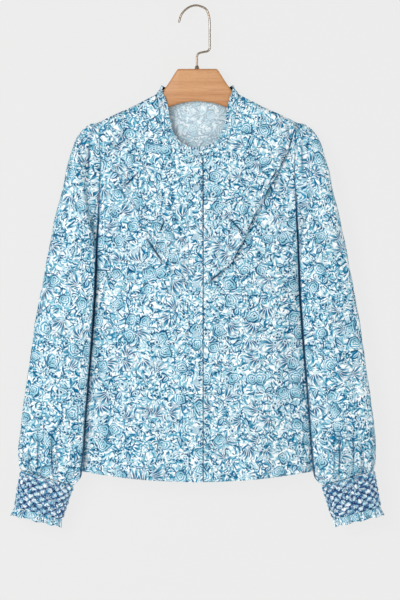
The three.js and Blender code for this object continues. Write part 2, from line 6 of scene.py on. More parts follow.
import logging
import math
from dataclasses import dataclass, field
from enum import Enum
from typing import Sequence, Union

import bpy
import numpy as np
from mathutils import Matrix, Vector


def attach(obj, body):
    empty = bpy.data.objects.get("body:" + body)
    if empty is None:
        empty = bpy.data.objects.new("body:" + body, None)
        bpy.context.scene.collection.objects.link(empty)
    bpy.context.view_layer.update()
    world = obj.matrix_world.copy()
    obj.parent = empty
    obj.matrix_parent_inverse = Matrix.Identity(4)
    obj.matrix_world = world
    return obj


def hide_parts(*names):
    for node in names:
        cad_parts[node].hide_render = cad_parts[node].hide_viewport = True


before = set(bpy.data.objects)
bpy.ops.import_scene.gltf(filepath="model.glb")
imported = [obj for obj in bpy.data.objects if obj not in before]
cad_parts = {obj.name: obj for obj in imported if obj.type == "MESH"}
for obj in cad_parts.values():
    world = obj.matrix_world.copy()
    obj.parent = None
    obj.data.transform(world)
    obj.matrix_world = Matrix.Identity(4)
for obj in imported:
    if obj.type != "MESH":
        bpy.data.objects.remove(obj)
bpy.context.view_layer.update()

LOG = logging.getLogger("blouse")
BODY = "root"
MM = 0.001
TURN = 2 * math.pi
HANG_SHIFT = 3.0  # the hang point lies this far to the right of the middle of the hanger
CENTRE_X = -2.4  # middle of the placket
FRONT_GAP = 0.35  # gap between the two fronts
CLOTH_THICK = 0.45
LAY_LIFT = 1.5  # height of the placket and the flounces over the fronts
HEM_LIFT = 0.35  # height of the turned hem over the cloth
OUT_OF_FRONT = np.array([0.0, -1.0, 0.0])
UV_NAME = "cloth"
SMOCK_UV = "smock"
# UV map that carries the painted shade of folds, gaps and edges
PAINTED_SHADE_UV = "depth"
Array = np.ndarray
Mesh = tuple[Array, list]
Material = bpy.types.Material
Piece = bpy.types.Object
Table = Sequence[tuple[float, float]]
Colour = tuple[float, float, float, float]


class Side(Enum):
    """A side of the wearer: the right side is on the left of the picture."""

    RIGHT = -1
    LEFT = 1


class Face(Enum):
    """The two faces of the body."""

    FRONT = -1
    BACK = 1


class Slot(Enum):
    """The record's material slots."""

    PRINT = "print_cloth"
    SMOCKED = "smocked_cloth"
    BUTTON = "button"
    WOOD = "wood"
    METAL = "hook_metal"


# Tables in millimetres from the middle of the hanger: x and z of a line, or a height z with the half
# width or the depth there
FRONT_NECK: Table = (
    (0, -242), (17, -240), (33, -232.5), (46, -220), (54.5, -203), (60, -180), (63.5, -160), (65.5, -148),
    (66, -141),
)
BACK_NECK: Table = ((0, -149), (30, -148), (52, -145.5), (66, -141))
SHOULDER_LINE: Table = ((50, -131), (66, -141), (88, -152.5), (110, -163.5), (136, -175), (160, -187))
# Where the painted shade between the body and each sleeve lies: height z and distance out x
GAP_LINE: Table = (
    (-187, 160), (-230, 156.4), (-290, 157), (-345, 159.5), (-380, 161.5), (-430, 163), (-470, 164.6),
    (-495, 166.4), (-545, 169.9), (-600, 174.5), (-655, 179), (-703, 182), (-754, 187),
)
BODY_EDGE: Table = (
    (-187, 160), (-205, 157.8), (-230, 156.2), (-260, 155.6), (-290, 156.8), (-315, 160), (-333, 165.5),
    (-345, 172), (-420, 180), (-560, 194), (-742, 210),
)
FRONT_DEPTH: Table = ((-120, 10.8), (-190, 12.5), (-242, 15), (-345, 23), (-500, 29), (-763, 35))
BACK_DEPTH: Table = ((-120, 10.8), (-190, 11.8), (-242, 13), (-345, 16), (-500, 19), (-763, 22))
NECKS = {Face.FRONT: FRONT_NECK, Face.BACK: BACK_NECK}
DEPTHS = {Face.FRONT: FRONT_DEPTH, Face.BACK: BACK_DEPTH}
RUFFLE_SEAM: Table = (
    (145, -192), (133, -197), (116, -209), (100, -228), (87, -256), (73, -284), (57, -307), (39, -330),
    (23, -355), (9, -379),
)
RUFFLE_EDGE: Table = (
    (150, -227), (142, -240), (132, -262), (117.6, -289), (101.6, -319), (88.8, -344), (77.6, -368),
    (60, -404), (37, -429), (9, -450),
)
# outer x, outer z, inner x, inner z, middle y, half depth of each ring down a sleeve
SLEEVE_RINGS = (
    (173, -190.5, 174, -348, -1, 16), (185, -199, 175.4, -352, -2, 18.5),
    (194.5, -213, 171, -357, -6.5, 19.5), (202, -234, 167.4, -365, -12, 19), (210, -262, 165, -379, -16, 18),
    (216.5, -296, 163.8, -397, -19, 17), (227, -336, 163.6, -420, -20.5, 16),
    (237, -385, 163.8, -452, -21.5, 15), (248, -445, 167, -495, -22.5, 14.5),
    (260, -510, 170.4, -545, -23.5, 14.5), (269, -575, 175, -600, -24.5, 15),
    (278.5, -638, 179.6, -655, -25.5, 16), (284.5, -692, 182.6, -703, -26, 17),
    (285.4, -718, 183.8, -733, -25.5, 17), (284, -734, 187.5, -754, -24, 15.5),
    (281.5, -744, 199, -768.5, -22.5, 12.5),
)
CUFF_TOP = (282, -744.6, 199.6, -769.4, -22.5, 12)
CUFF_END = (292.3, -803, 217.4, -822.6, -21, 11)
HOOK_ROUTE: Table = (
    (-0.8, -99.8), (-0.8, -84), (-0.8, -79.5), (1.8, -75.2), (9, -73), (16.6, -71.2), (19.7, -67),
    (19.7, -60), (19.7, -45), (19.6, -30), (18.6, -16), (14, -4.4), (6, 0.4), (-3, 2.2), (-12, 0),
    (-20, -5.5), (-26, -13), (-29.6, -24),
)
PLATE_EDGE: Table = (
    (29.0, -100.5), (31.4, -100.9), (32.9, -102.3), (38, -110), (44.5, -120.5), (53, -132.5), (58.5, -139.6),
)
WOOD_UNDERSIDE: Table = (
    (0, -152), (25, -155.2), (48.5, -163), (70, -171.5), (98, -183.5), (126, -193.5), (137, -196.6),
    (147, -198.6), (151.6, -196), (153.2, -190),
)
# radius and height of each ring of a button
BUTTON_PROFILE: Table = (
    (0.001, 1.5), (0.35, 1.5), (0.7, 1.5), (1.0, 1.5), (1.3, 1.5), (1.6, 1.5), (1.9, 1.5), (2.3, 1.5),
    (2.7, 1.52), (3.0, 1.6), (3.3, 1.78), (3.6, 1.92), (4.0, 2.0), (4.4, 1.98), (4.75, 1.8), (4.95, 1.45),
    (5.0, 1.0), (4.9, 0.45), (4.4, 0.1), (0.001, 0.1),
)


def smooth(t: Array) -> Array:
    """Eases from 0 to 1 as t goes from 0 to 1."""
    c = np.clip(t, 0.0, 1.0)
    return c * c * (3 - 2 * c)


def read_table(table: Table, at: Array) -> Array:
    """Reads a table of key and value pairs at some keys, with straight lines between its rows."""
    rows = np.array(sorted(table), float)
    return np.interp(at, rows[:, 0], rows[:, 1])


def cubic(a: Array, leave: Array, b: Array, arrive: Array, t: Array) -> Array:
    """A cubic curve from a to b that leaves and arrives with the given slopes, at t from 0 to 1."""
    begun = (2 * t**3 - 3 * t**2 + 1) * a + (t**3 - 2 * t**2 + t) * leave
    return begun + (-2 * t**3 + 3 * t**2) * b + (t**3 - t**2) * arrive


def eased_rows(rows: Array, at: Array) -> Array:
    """Reads evenly spaced rows of values along a smooth curve through them.

    Args:
        rows: One row of values for each whole number from 0.
        at: Places between the rows.

    Returns:
        One row of values for each place.
    """
    last = len(rows) - 1
    i = np.clip(np.floor(at).astype(int), 0, last - 1)
    t = (at - i)[:, None]
    a, b = rows[i], rows[i + 1]
    before = np.where((i > 0)[:, None], rows[np.maximum(i - 1, 0)], 2 * a - b)
    after = np.where((i < last - 1)[:, None], rows[np.minimum(i + 2, last)], 2 * b - a)
    return cubic(a, (b - before) / 2, b, (after - a) / 2, t)


class SmoothLine:
    """A smooth line through points, read evenly along its length."""

    def __init__(self, points: Sequence[Sequence[float]], steps: int = 40) -> None:
        """Samples a centripetal curve through the points.

        Args:
            points: The points to pass.
            steps: Samples between two points.
        """
        p = np.array(points, float)
        q = np.vstack([2 * p[0] - p[1], p, 2 * p[-1] - p[-2]])
        out = [p[:1]]
        t = np.linspace(0, 1, steps + 1)[1:, None]
        for a, b, c, d in zip(q, q[1:], q[2:], q[3:]):
            d0, d1, d2 = (max(np.linalg.norm(v), 1e-6) ** 0.5 for v in (b - a, c - b, d - c))
            leave = ((b - a) / d0 - (c - a) / (d0 + d1) + (c - b) / d1) * d1
            arrive = ((c - b) / d1 - (d - b) / (d1 + d2) + (d - c) / d2) * d1
            out.append(cubic(b, leave, c, arrive, t))
        self.points = np.vstack(out)
        steps_along = np.linalg.norm(np.diff(self.points, axis=0), axis=1)
        self.along = np.concatenate([[0.0], np.cumsum(steps_along)])
        self.length = float(self.along[-1])

    def at(self, share: Array) -> Array:
        """Points at shares of the length, one row each."""
        s = np.asarray(share, float) * self.length
        return np.stack([np.interp(s, self.along, column) for column in self.points.T], axis=-1)


@dataclass(frozen=True)
class Crease:
    """A fold on the cloth: a soft trough with a ridge on one side.

    Attributes:
        route: Points that the fold passes, x and z in millimetres of the hung blouse.
        width: Half width of the trough.
        depth: Depth of the trough; below 0 it is a ridge.
        ridge: Height of the ridge beside it, as a share of the depth, on the right of the route if above 0.
        deep: How dark the painted shade in its narrow bottom is, 0 to 1.
    """

    route: tuple[tuple[float, float], ...]
    width: float
    depth: float
    ridge: float = 0.6
    deep: float = 0.0

    def form(self, x: Array, z: Array) -> tuple[Array, Array]:
        """The fold's lift, and the painted shade in its narrow bottom.

        Args:
            x: Places across.
            z: Heights.

        Returns:
            The lift in millimetres, and the painted shade from 0 to 1.
        """
        best = np.full(x.shape, 1e9)
        signed = np.zeros(x.shape)
        fade = np.zeros(x.shape)
        parts = list(zip(self.route, self.route[1:]))
        total = sum(math.dist(a, b) for a, b in parts)
        gone = 0.0
        for (ax, az), (bx, bz) in parts:
            dx, dz = bx - ax, bz - az
            length = math.hypot(dx, dz)
            t = np.clip(((x - ax) * dx + (z - az) * dz) / length**2, 0, 1)
            px, pz = x - ax - t * dx, z - az - t * dz
            away = np.hypot(px, pz)
            near = away < best
            best = np.where(near, away, best)
            signed = np.where(near, np.sign(dx * pz - dz * px) * away, signed)
            share = (gone + t * length) / total
            fade = np.where(near, np.sin(np.pi * np.clip(share * 0.92 + 0.04, 0, 1)) ** 0.6, fade)
            gone += length
        side = math.copysign(1.0, self.ridge)
        trough = np.exp(-((best / self.width) ** 2))
        beside = abs(self.ridge) * np.exp(-(((signed + side * 1.9 * self.width) / (1.5 * self.width)) ** 2))
        # Painted shade, darkest along the fold's narrow bottom
        painted_shade = self.deep * fade * np.exp(-((best / (0.55 * self.width)) ** 2))
        return self.depth * fade * (beside - trough), painted_shade


class Crumple:
    """Soft uneven waves of cloth, the same on each run."""

    def __init__(self, seed: int, length: float, waves: int = 9) -> None:
        """Draws the waves.

        Args:
            seed: Start of the random draws.
            length: Usual length of a wave in millimetres.
            waves: How many waves are added up.
        """
        rng = np.random.default_rng(seed)
        turn = rng.uniform(0, TURN, waves)
        pace = TURN / (length * rng.uniform(0.6, 1.7, waves))
        self.kx, self.kz = pace * np.cos(turn), pace * np.sin(turn)
        self.start = rng.uniform(0, TURN, waves)

    def height(self, x: Array, z: Array) -> Array:
        """Heights of the waves.

        Args:
            x: Places across.
            z: Places up.

        Returns:
            Values from about -1 to 1.
        """
        total = np.zeros(np.shape(x))
        for kx, kz, start in zip(self.kx, self.kz, self.start):
            total = total + np.sin(kx * x + kz * z + start)
        return total / (0.7 * len(self.kx) ** 0.5 * 2)


# ---- meshes

def cross(a: Array, b: Array) -> Array:
    """Cross products of rows of vectors.

    Args:
        a: The first vectors.
        b: The second vectors.

    Returns:
        One product for each pair.
    """
    return np.stack([a[..., 1] * b[..., 2] - a[..., 2] * b[..., 1],
                     a[..., 2] * b[..., 0] - a[..., 0] * b[..., 2],
                     a[..., 0] * b[..., 1] - a[..., 1] * b[..., 0]], axis=-1)


def grid_normals(points: Array, loop: bool) -> Array:
    """Unit normals of a grid of points.

    Args:
        points: Columns by rows by 3.
        loop: Whether the last column meets the first.

    Returns:
        Normals of the same shape.
    """
    if loop:
        over = np.roll(points, -1, axis=0) - np.roll(points, 1, axis=0)
    else:
        over = np.gradient(points, axis=0)
    n = cross(over, np.gradient(points, axis=1))
    return n / np.maximum(np.linalg.norm(n, axis=-1, keepdims=True), 1e-9)


def grid_faces(columns: int, rows: int, loop: bool, ring: bool = False) -> tuple[Array, Array]:
    """Faces of a grid of points.

    Args:
        columns: Columns of points.
        rows: Rows of points.
        loop: Whether the last column meets the first.
        ring: Whether the last row meets the first too.

    Returns:
        The column and row of each corner of each face, and the corners' point numbers.
    """
    across, down = np.arange(columns if loop else columns - 1), np.arange(rows if ring else rows - 1)
    c, r = np.meshgrid(across, down, indexing="ij")
    around = [np.stack([c + i, r + j], -1) for i, j in ((0, 0), (1, 0), (1, 1), (0, 1))]
    corners = np.stack(around, 2).reshape(-1, 4, 2)
    return corners, corners[..., 0] % columns * rows + corners[..., 1] % rows


def new_object(name: str, points: Array, faces: list, materials: Sequence[Material]) -> Piece:
    """Makes a smooth mesh object.

    Args:
        name: Name of the piece.
        points: Corner points in millimetres before the shift to the hang point.
        faces: Corner numbers of each face.
        materials: The materials in the order of their numbers.

    Returns:
        The new object, linked to the scene.
    """
    mesh = bpy.data.meshes.new(name)
    placed = (np.asarray(points, float) + (HANG_SHIFT, 0, 0)) * MM
    mesh.from_pydata(placed.tolist(), [], faces)
    mesh.polygons.foreach_set("use_smooth", np.ones(len(mesh.polygons), bool))
    for material in materials:
        mesh.materials.append(material)
    piece = bpy.data.objects.new(name, mesh)
    bpy.context.scene.collection.objects.link(piece)
    return piece


@dataclass
class Sheet:
    """A sheet of cloth given as a grid of points with its place on the flat cloth.

    Attributes:
        name: Name of the piece.
        points: Columns by rows by 3, in millimetres.
        flat: Places on the flat cloth in millimetres; a loop has one column more here than in points.
        outside: Where the printed face looks, as one vector or one for each point.
        loop: Whether the last column meets the first.
        smock: Places on the smocking's lattice, shaped as flat, or None.
        deep: Painted shade at each point, 0 to 1, darkest deep in a fold or gap, shaped as points, or None.
        inner_painted_shade: The painted shade of the inside alone, or None where both sides are alike.
        thick: Thickness of the cloth.
    """

    name: str
    points: Array
    flat: Array
    outside: Array
    loop: bool = False
    smock: Union[Array, None] = None
    deep: Union[Array, None] = None
    inner_painted_shade: Union[Array, None] = None
    thick: float = CLOTH_THICK

    def build(self, materials: Sequence[Material]) -> Piece:
        """Builds the sheet as a thin shell with a printed and a paler face.

        Args:
            materials: The material of the outside and of the inside.

        Returns:
            The new object.
        """
        columns, rows = self.points.shape[:2]
        corners, ids = grid_faces(columns, rows, self.loop)
        if (grid_normals(self.points, self.loop) * self.outside).sum(-1).mean() < 0:
            corners, ids = corners[:, ::-1], ids[:, ::-1]
        piece = new_object(self.name, self.points.reshape(-1, 3), ids.tolist(), materials)
        # The painted shade of the outside and of the inside goes into its own UV map
        outer = np.zeros((columns, rows)) if self.deep is None else np.clip(self.deep, 0, 1)
        inner = outer if self.inner_painted_shade is None else np.clip(self.inner_painted_shade, 0, 1)
        deep = np.stack([outer, inner], -1)
        deep = np.concatenate([deep, deep[:1]])
        for title, values in ((UV_NAME, self.flat * MM), (SMOCK_UV, self.smock), (PAINTED_SHADE_UV, deep)):
            if values is not None:
                layer = piece.data.uv_layers.new(name=title)
                layer.data.foreach_set("uv", values[corners[..., 0], corners[..., 1]].reshape(-1))
        shell = piece.modifiers.new("cloth", "SOLIDIFY")
        shell.thickness = self.thick * MM
        shell.offset = -1
        shell.material_offset = 1
        return piece


def tube_mesh(path: Array, radius: Union[float, Array], sides: int) -> Mesh:
    """A closed round tube along a path.

    Args:
        path: Points along the middle.
        radius: One radius, or one for each point.
        sides: Sides of the tube.

    Returns:
        Its points and faces.
    """
    count = len(path)
    radii = np.broadcast_to(np.asarray(radius, float), (count,))
    ahead = np.gradient(path, axis=0)
    ahead /= np.linalg.norm(ahead, axis=1, keepdims=True)
    up = np.array([0.0, 1.0, 0.0]) if abs(ahead[0][1]) < 0.9 else np.array([1.0, 0.0, 0.0])
    turn = np.linspace(0, TURN, sides, endpoint=False)
    rings = []
    for point, along, r in zip(path, ahead, radii):
        up = up - along * up.dot(along)
        up /= np.linalg.norm(up)
        over = np.cross(along, up)
        rings.append(point + r * (np.cos(turn)[:, None] * up + np.sin(turn)[:, None] * over))
    points = np.vstack(rings + [path[:1], path[-1:]])
    faces = []
    for i in range(count - 1):
        for j in range(sides):
            k = (j + 1) % sides
            faces.append([i * sides + j, i * sides + k, (i + 1) * sides + k, (i + 1) * sides + j])
    for j in range(sides):
        k = (j + 1) % sides
        faces.append([count * sides, k, j])
        faces.append([count * sides + 1, (count - 1) * sides + j, (count - 1) * sides + k])
    return points, faces


def round_ended(path: Array, radius: float, sides: int, steps: int = 4) -> Mesh:
    """A tube whose two ends are rounded, along a path.

    Args:
        path: Points along the middle.
        radius: Its radius.
        sides: Sides of the tube.
        steps: Rings of each rounded end.

    Returns:
        Its points and faces.
    """
    first, last = path[0] - path[1], path[-1] - path[-2]
    first, last = first / np.linalg.norm(first), last / np.linalg.norm(last)
    angles = np.linspace(0, np.pi / 2, steps + 1)[1:]
    head = [path[0] + first * radius * math.sin(a) for a in angles][::-1]
    tail = [path[-1] + last * radius * math.sin(a) for a in angles]
    caps = [radius * max(math.cos(a), 0.03) for a in angles]
    line = np.vstack([head, path, tail])
    return tube_mesh(line, np.concatenate([caps[::-1], np.full(len(path), radius), caps]), sides)


def joined(parts: Sequence[Mesh]) -> Mesh:
    """Puts several meshes in one.

    Args:
        parts: Points and faces of each.

    Returns:
        Points and faces of all.
    """
    points, faces, start = [], [], 0
    for p, f in parts:
        points.append(p)
        faces += [[i + start for i in face] for face in f]
        start += len(p)
    return np.vstack(points), faces


def stitches(line: Array, outward: Array, pitch: float = 3.2, share: float = 0.68,
             radius: float = 0.2) -> Mesh:
    """A row of small machine stitches along a line on the cloth.

    Args:
        line: Points along the seam, on the cloth's face.
        outward: The way out of the cloth.
        pitch: Length of one stitch with its gap.
        share: Share of it that the thread shows.
        radius: Half thickness of the thread.

    Returns:
        Points and faces of all stitches.
    """
    path = SmoothLine(line, 4)
    count = max(int(path.length / pitch), 1)
    parts = []
    for i in range(count):
        ends = path.at(np.array([i, i + share / 2, i + share]) / count)
        lifted = ends + np.array([[-0.05], [radius * 1.3], [-0.05]]) * outward
        parts.append(tube_mesh(lifted, np.array([0.6, 1.0, 0.6]) * radius, 5))
    return joined(parts)


# ---- shaders

def paint(code: str) -> Colour:
    """Turns a colour code into the renderer's own linear values.

    Args:
        code: A code such as #8FB9CC.

    Returns:
        Red, green, blue and 1.
    """
    parts = [int(code[i:i + 2], 16) / 255 for i in (1, 3, 5)]
    linear = [c / 12.92 if c <= 0.04045 else ((c + 0.055) / 1.055) ** 2.4 for c in parts]
    return (*linear, 1.0)


class Signal:
    """An output of a node. Arithmetic on it adds Math nodes, or Vector Math nodes where it is a vector."""

    def __init__(self, shader: "Shader", socket: bpy.types.NodeSocket, vector: bool = False) -> None:
        """Wraps a socket."""
        self.shader, self.socket, self.vector = shader, socket, vector

    def math(self, operation: str, *values: object, swap: bool = False) -> "Signal":
        """Adds one Math or Vector Math node.

        Args:
            operation: The node's operation.
            values: The other values, as numbers, vectors or signals.
            swap: Whether this signal comes second.

        Returns:
            The node's result.
        """
        given = [self, *values]
        if swap:
            given.reverse()
        kind = "ShaderNodeVectorMath" if self.vector else "ShaderNodeMath"
        if self.vector:
            given = [(v, v, v) if isinstance(v, (int, float)) else v for v in given]
        return self.shader.node(kind, {"operation": operation}, dict(enumerate(given)), vector=self.vector)

    def __add__(self, other: object) -> "Signal":
        """Adds."""
        return self.math("ADD", other)

    __radd__ = __add__

    def __sub__(self, other: object) -> "Signal":
        """Subtracts."""
        return self.math("SUBTRACT", other)

    def __rsub__(self, other: object) -> "Signal":
        """Subtracts from."""
        return self.math("SUBTRACT", other, swap=True)

    def __mul__(self, other: object) -> "Signal":
        """Multiplies."""
        return self.math("MULTIPLY", other)

    __rmul__ = __mul__

    def __truediv__(self, other: object) -> "Signal":
        """Divides."""
        return self.math("DIVIDE", other)

    def __abs__(self) -> "Signal":
        """Drops the sign."""
        return self.math("ABSOLUTE")

    def __pow__(self, power: float) -> "Signal":
        """Raises to a power."""
        return self.math("POWER", power)

    def __gt__(self, other: object) -> "Signal":
        """1 where it is greater."""
        return self.math("GREATER_THAN", other)

    def __lt__(self, other: object) -> "Signal":
        """1 where it is less."""
        return self.math("LESS_THAN", other)

    def step(self, low: float, high: float) -> "Signal":
        """Eases from 0 to 1 between two values; falls where high is the smaller.

        Args:
            low: The one value.
            high: The other value.

        Returns:
            The eased value.
        """
        ends = (low, high, 0.0, 1.0) if low < high else (high, low, 1.0, 0.0)
        return self.shader.node("ShaderNodeMapRange", {"interpolation_type": "SMOOTHSTEP"},
                                dict(enumerate((self, *ends))))


@dataclass
class Cell:
    """Where a place lies in its own cell of a scattered layer, turned at random, with two random numbers."""

    x: Signal
    y: Signal
    pick: Signal
    tone: Signal


class Shader:
    """Builds the nodes of one material."""

    def __init__(self, name: str) -> None:
        """Makes an empty material.

        Args:
            name: Its name.
        """
        self.material = bpy.data.materials.new(name)
        self.material.use_nodes = True
        self.tree = self.material.node_tree
        self.tree.nodes.clear()

    def node(self, kind: str, settings: dict, inputs: dict, output: Union[int, str] = 0,
             vector: bool = False) -> Signal:
        """Adds a node.

        Args:
            kind: The node's type.
            settings: Its properties, set first.
            inputs: Values, vectors or signals by socket name or number.
            output: The output that is used.
            vector: Whether that output is a vector.

        Returns:
            The wrapped output.
        """
        made = self.tree.nodes.new(kind)
        for key, value in settings.items():
            setattr(made, key, value)
        for key, value in inputs.items():
            if isinstance(value, Signal):
                self.tree.links.new(value.socket, made.inputs[key])
            else:
                made.inputs[key].default_value = value
        return Signal(self, made.outputs[output], vector)

    def other(self, signal: Signal, output: Union[int, str], vector: bool = False) -> Signal:
        """Another output of the node that a signal comes from."""
        return Signal(self, signal.socket.node.outputs[output], vector)

    def flat_place(self, name: str, scale: float) -> Signal:
        """The place on the flat cloth from a UV map, times a scale."""
        uv = self.node("ShaderNodeUVMap", {"uv_map": name}, {}, vector=True)
        return uv * scale

    def object_place(self, scale: Sequence[float] = (1.0, 1.0, 1.0)) -> Signal:
        """The place in the object, times a scale along each axis."""
        place = self.node("ShaderNodeTexCoord", {}, {}, "Object", vector=True)
        return place * tuple(scale)

    def noise(self, place: Signal, scale: float, detail: float = 2.0, dimensions: str = "2D") -> Signal:
        """Soft noise from 0 to 1."""
        return self.node("ShaderNodeTexNoise", {"noise_dimensions": dimensions},
                         {"Vector": place, "Scale": scale, "Detail": detail})

    def split(self, vector: Signal) -> tuple[Signal, Signal, Signal]:
        """The three parts of a vector."""
        x = self.node("ShaderNodeSeparateXYZ", {}, {0: vector})
        return x, self.other(x, 1), self.other(x, 2)

    def blend(self, a: object, b: object, share: object) -> Signal:
        """Mixes two colours, as codes, colours or signals; the share is that of the second."""
        a, b = (paint(c) if isinstance(c, str) else c for c in (a, b))
        return self.node("ShaderNodeMix", {"data_type": "RGBA"}, {0: share, 6: a, 7: b}, 2)

    def cells(self, place: Signal, size: float, jitter: float, seed: float) -> Cell:
        """A scattered layer of cells, each turned its own way.

        Args:
            place: The place on the cloth.
            size: Size of a cell.
            jitter: How far cells stray from rows, 0 to 1.
            seed: Moves the layer, so that no two are alike.

        Returns:
            The place in the cell and its random numbers.
        """
        moved = place + (seed * 37.7, seed * 91.3, 0.0)
        near = self.node("ShaderNodeTexVoronoi", {"voronoi_dimensions": "2D"},
                         {"Vector": moved, "Scale": 1 / size, "Randomness": jitter}, "Position", vector=True)
        turn, pick, tone = self.split(self.other(near, "Color"))
        turned = self.node("ShaderNodeVectorRotate", {"rotation_type": "Z_AXIS"},
                           {"Vector": moved - near, "Angle": turn * TURN}, vector=True)
        x, y, _ = self.split(turned)
        return Cell(x, y, pick, tone)

    def surface(self, base: object, roughness: object, settings: dict, height: Union[Signal, None] = None,
                distance: float = 0.001) -> Material:
        """Ends the material with one plain surface shader.

        Args:
            base: The base colour, a colour or a signal.
            roughness: The roughness, a number or a signal.
            settings: Other numbers of the shader by name.
            height: The height of small relief, or None.
            distance: Metres for a height of 1.

        Returns:
            The material.
        """
        inputs = {"Base Color": base, "Roughness": roughness, **settings}
        if height is not None:
            bump = {"Strength": 1.0, "Distance": distance, "Height": height}
            inputs["Normal"] = self.node("ShaderNodeBump", {}, bump, vector=True)
        shader = self.node("ShaderNodeBsdfPrincipled", {}, inputs)
        out = self.tree.nodes.new("ShaderNodeOutputMaterial")
        self.tree.links.new(shader.socket, out.inputs["Surface"])
        return self.material


@dataclass(frozen=True)
class PrintCloth:
    """A thin woven cloth with a dense print of roses, leaf fans and small leaves, all drawn by rule, and
    painted shade in its folds and gaps.
    """

    white: str = "#F9FDFE"
    pale: str = "#C8E2EB"
    light: str = "#7CBFD3"
    mid: str = "#3094B8"
    deep: str = "#05719B"
    dark: str = "#024D76"
    # near-black of the painted shade at the bottom of the deepest folds and gaps
    painted_shade: str = "#0E2A40"
    roughness: float = 0.85

    def leaf(self, x: Signal, y: Signal, length: float, width: float, bend: float,
             soft: float = 0.5) -> tuple[Signal, Signal]:
        """A pointed leaf along x.

        Args:
            x: Place along the leaf in millimetres.
            y: Place across it.
            length: Half length.
            width: Half width.
            bend: How much it curves.
            soft: Width of its soft edge.

        Returns:
            Its mask, and the place across from its curved middle.
        """
        t = x / length
        across = y - x * x * bend
        room = (1 - t * t) * width
        return (room - abs(across)).step(0.0, soft), across

    def rose(self, s: Shader, cell: Cell, colour: Signal, radius: float) -> Signal:
        """Lays a round rose of ringed petals over the colour.

        Args:
            s: The shader.
            cell: The place in the cell.
            colour: What lies below.
            radius: Radius of the rose.

        Returns:
            The new colour.
        """
        x, y = cell.x, cell.y
        r = (x * x + y * y) ** 0.5
        turn = y.math("ARCTAN2", x)
        edge = r - ((turn * 4 + cell.tone * 9).math("SINE") + 0.6 * (turn * 7).math("SINE")) * (0.06 * radius)
        sunny = (turn - cell.pick * 20).math("COSINE")
        rings = edge / 3.5 + turn / TURN + (turn * 3 + cell.tone * 5).math("SINE") * 0.16
        petal = rings.math("FRACT")
        gate = (turn * 2 + (rings - petal) * 2.1 + cell.tone * 6).math("SINE").step(-0.9, -0.3)
        rays = (turn * 11 + r * 0.7).math("SINE").step(-0.1, 0.7) * edge.step(radius * 0.5, radius * 0.7)
        fill = s.blend(self.light, self.white, petal.step(0.3, 0.8) * (0.55 + sunny * 0.4))
        fill = s.blend(fill, self.mid, rays * 0.4)
        rim = s.blend(self.mid, self.dark, sunny.step(0.5, -0.5))
        fill = s.blend(fill, rim, abs(petal - 0.2).step(0.25, 0.15) * gate)
        fill = s.blend(fill, self.dark, edge.step(radius * 0.8, radius * 0.9) * sunny.step(0.1, -0.4))
        return s.blend(colour, fill, edge.step(radius, radius - 0.5))

    def fan(self, s: Shader, cell: Cell, colour: Signal, reach: float, chosen: Signal) -> Signal:
        """Lays a fan of pointed leaves over the colour.

        Args:
            s: The shader.
            cell: The place in the cell.
            colour: What lies below.
            reach: Length of the fan.
            chosen: 1 in cells that have one.

        Returns:
            The new colour.
        """
        up = cell.y + reach * 0.5
        r = (cell.x * cell.x + up * up) ** 0.5
        turn = cell.x.math("ARCTAN2", up) + r * (cell.tone - 0.5) * 0.05
        count = turn * 2.5 + 0.5
        blade = abs(count.math("FRACT") - 0.5) * 2
        along = r / (reach * (0.8 + 0.2 * (count.math("FLOOR") * 2.3 + cell.pick * 40).math("SINE")))
        room = (along - along * along) * 3.3
        mask = (room - blade).step(0.0, 0.25) * abs(turn).step(1.02, 0.96) * chosen
        ground = (r / reach).step(0.95, 0.7) * abs(turn).step(1.2, 0.9) * chosen * 0.45
        colour = s.blend(colour, self.white, ground)
        fill = s.blend(self.deep, self.light, along.step(0.35, 1.0))
        fill = s.blend(fill, self.dark, blade.step(0.1, 0.4) * along.step(0.95, 0.3))
        return s.blend(colour, fill, mask)

    def bud(self, s: Shader, cell: Cell, colour: Signal, reach: float, chosen: Signal) -> Signal:
        """Lays a tulip bud with dark outer strokes over the colour.

        Args:
            s: The shader.
            cell: The place in the cell.
            colour: What lies below.
            reach: Half length of the bud.
            chosen: 1 in cells that have one.

        Returns:
            The new colour.
        """
        outer, across = self.leaf(cell.x, cell.y, reach, reach * 0.55, 0.0)
        inner, _ = self.leaf(cell.x - reach * 0.12, cell.y, reach * 0.8, reach * 0.55 - 1.9, 0.0)
        heart, _ = self.leaf(cell.x + reach * 0.1, cell.y, reach * 0.75, 1.0, 0.0)
        fill = s.blend(self.deep, self.pale, inner)
        fill = s.blend(fill, self.mid, heart)
        fill = s.blend(fill, self.dark, across.step(0.0, 1.6) * (1 - inner))
        return s.blend(colour, fill, outer * chosen)

    def sprig(self, cell: Cell, length: float, width: float, period: float) -> tuple[Signal, Signal]:
        """Leaves in pairs along a stem.

        Args:
            cell: The place in the cell.
            length: Half length of the stem.
            width: Reach of the leaves.
            period: Space between two pairs.

        Returns:
            The mask, and how far out along its leaf each place is, 0 to 1.
        """
        bent = cell.y - cell.x * cell.x * 0.02
        side = abs(bent)
        t = cell.x / length
        reach = (1 - t * t) * width
        out = side / (reach.math("MAXIMUM", 0.3))
        phase = ((cell.x - side * 0.9) / period).math("FRACT")
        blade = abs(phase - 0.5) * 2
        mask = (0.85 - out * out * 0.8 - blade).step(0.0, 0.3) * abs(t).step(1.05, 0.95)
        return mask, out

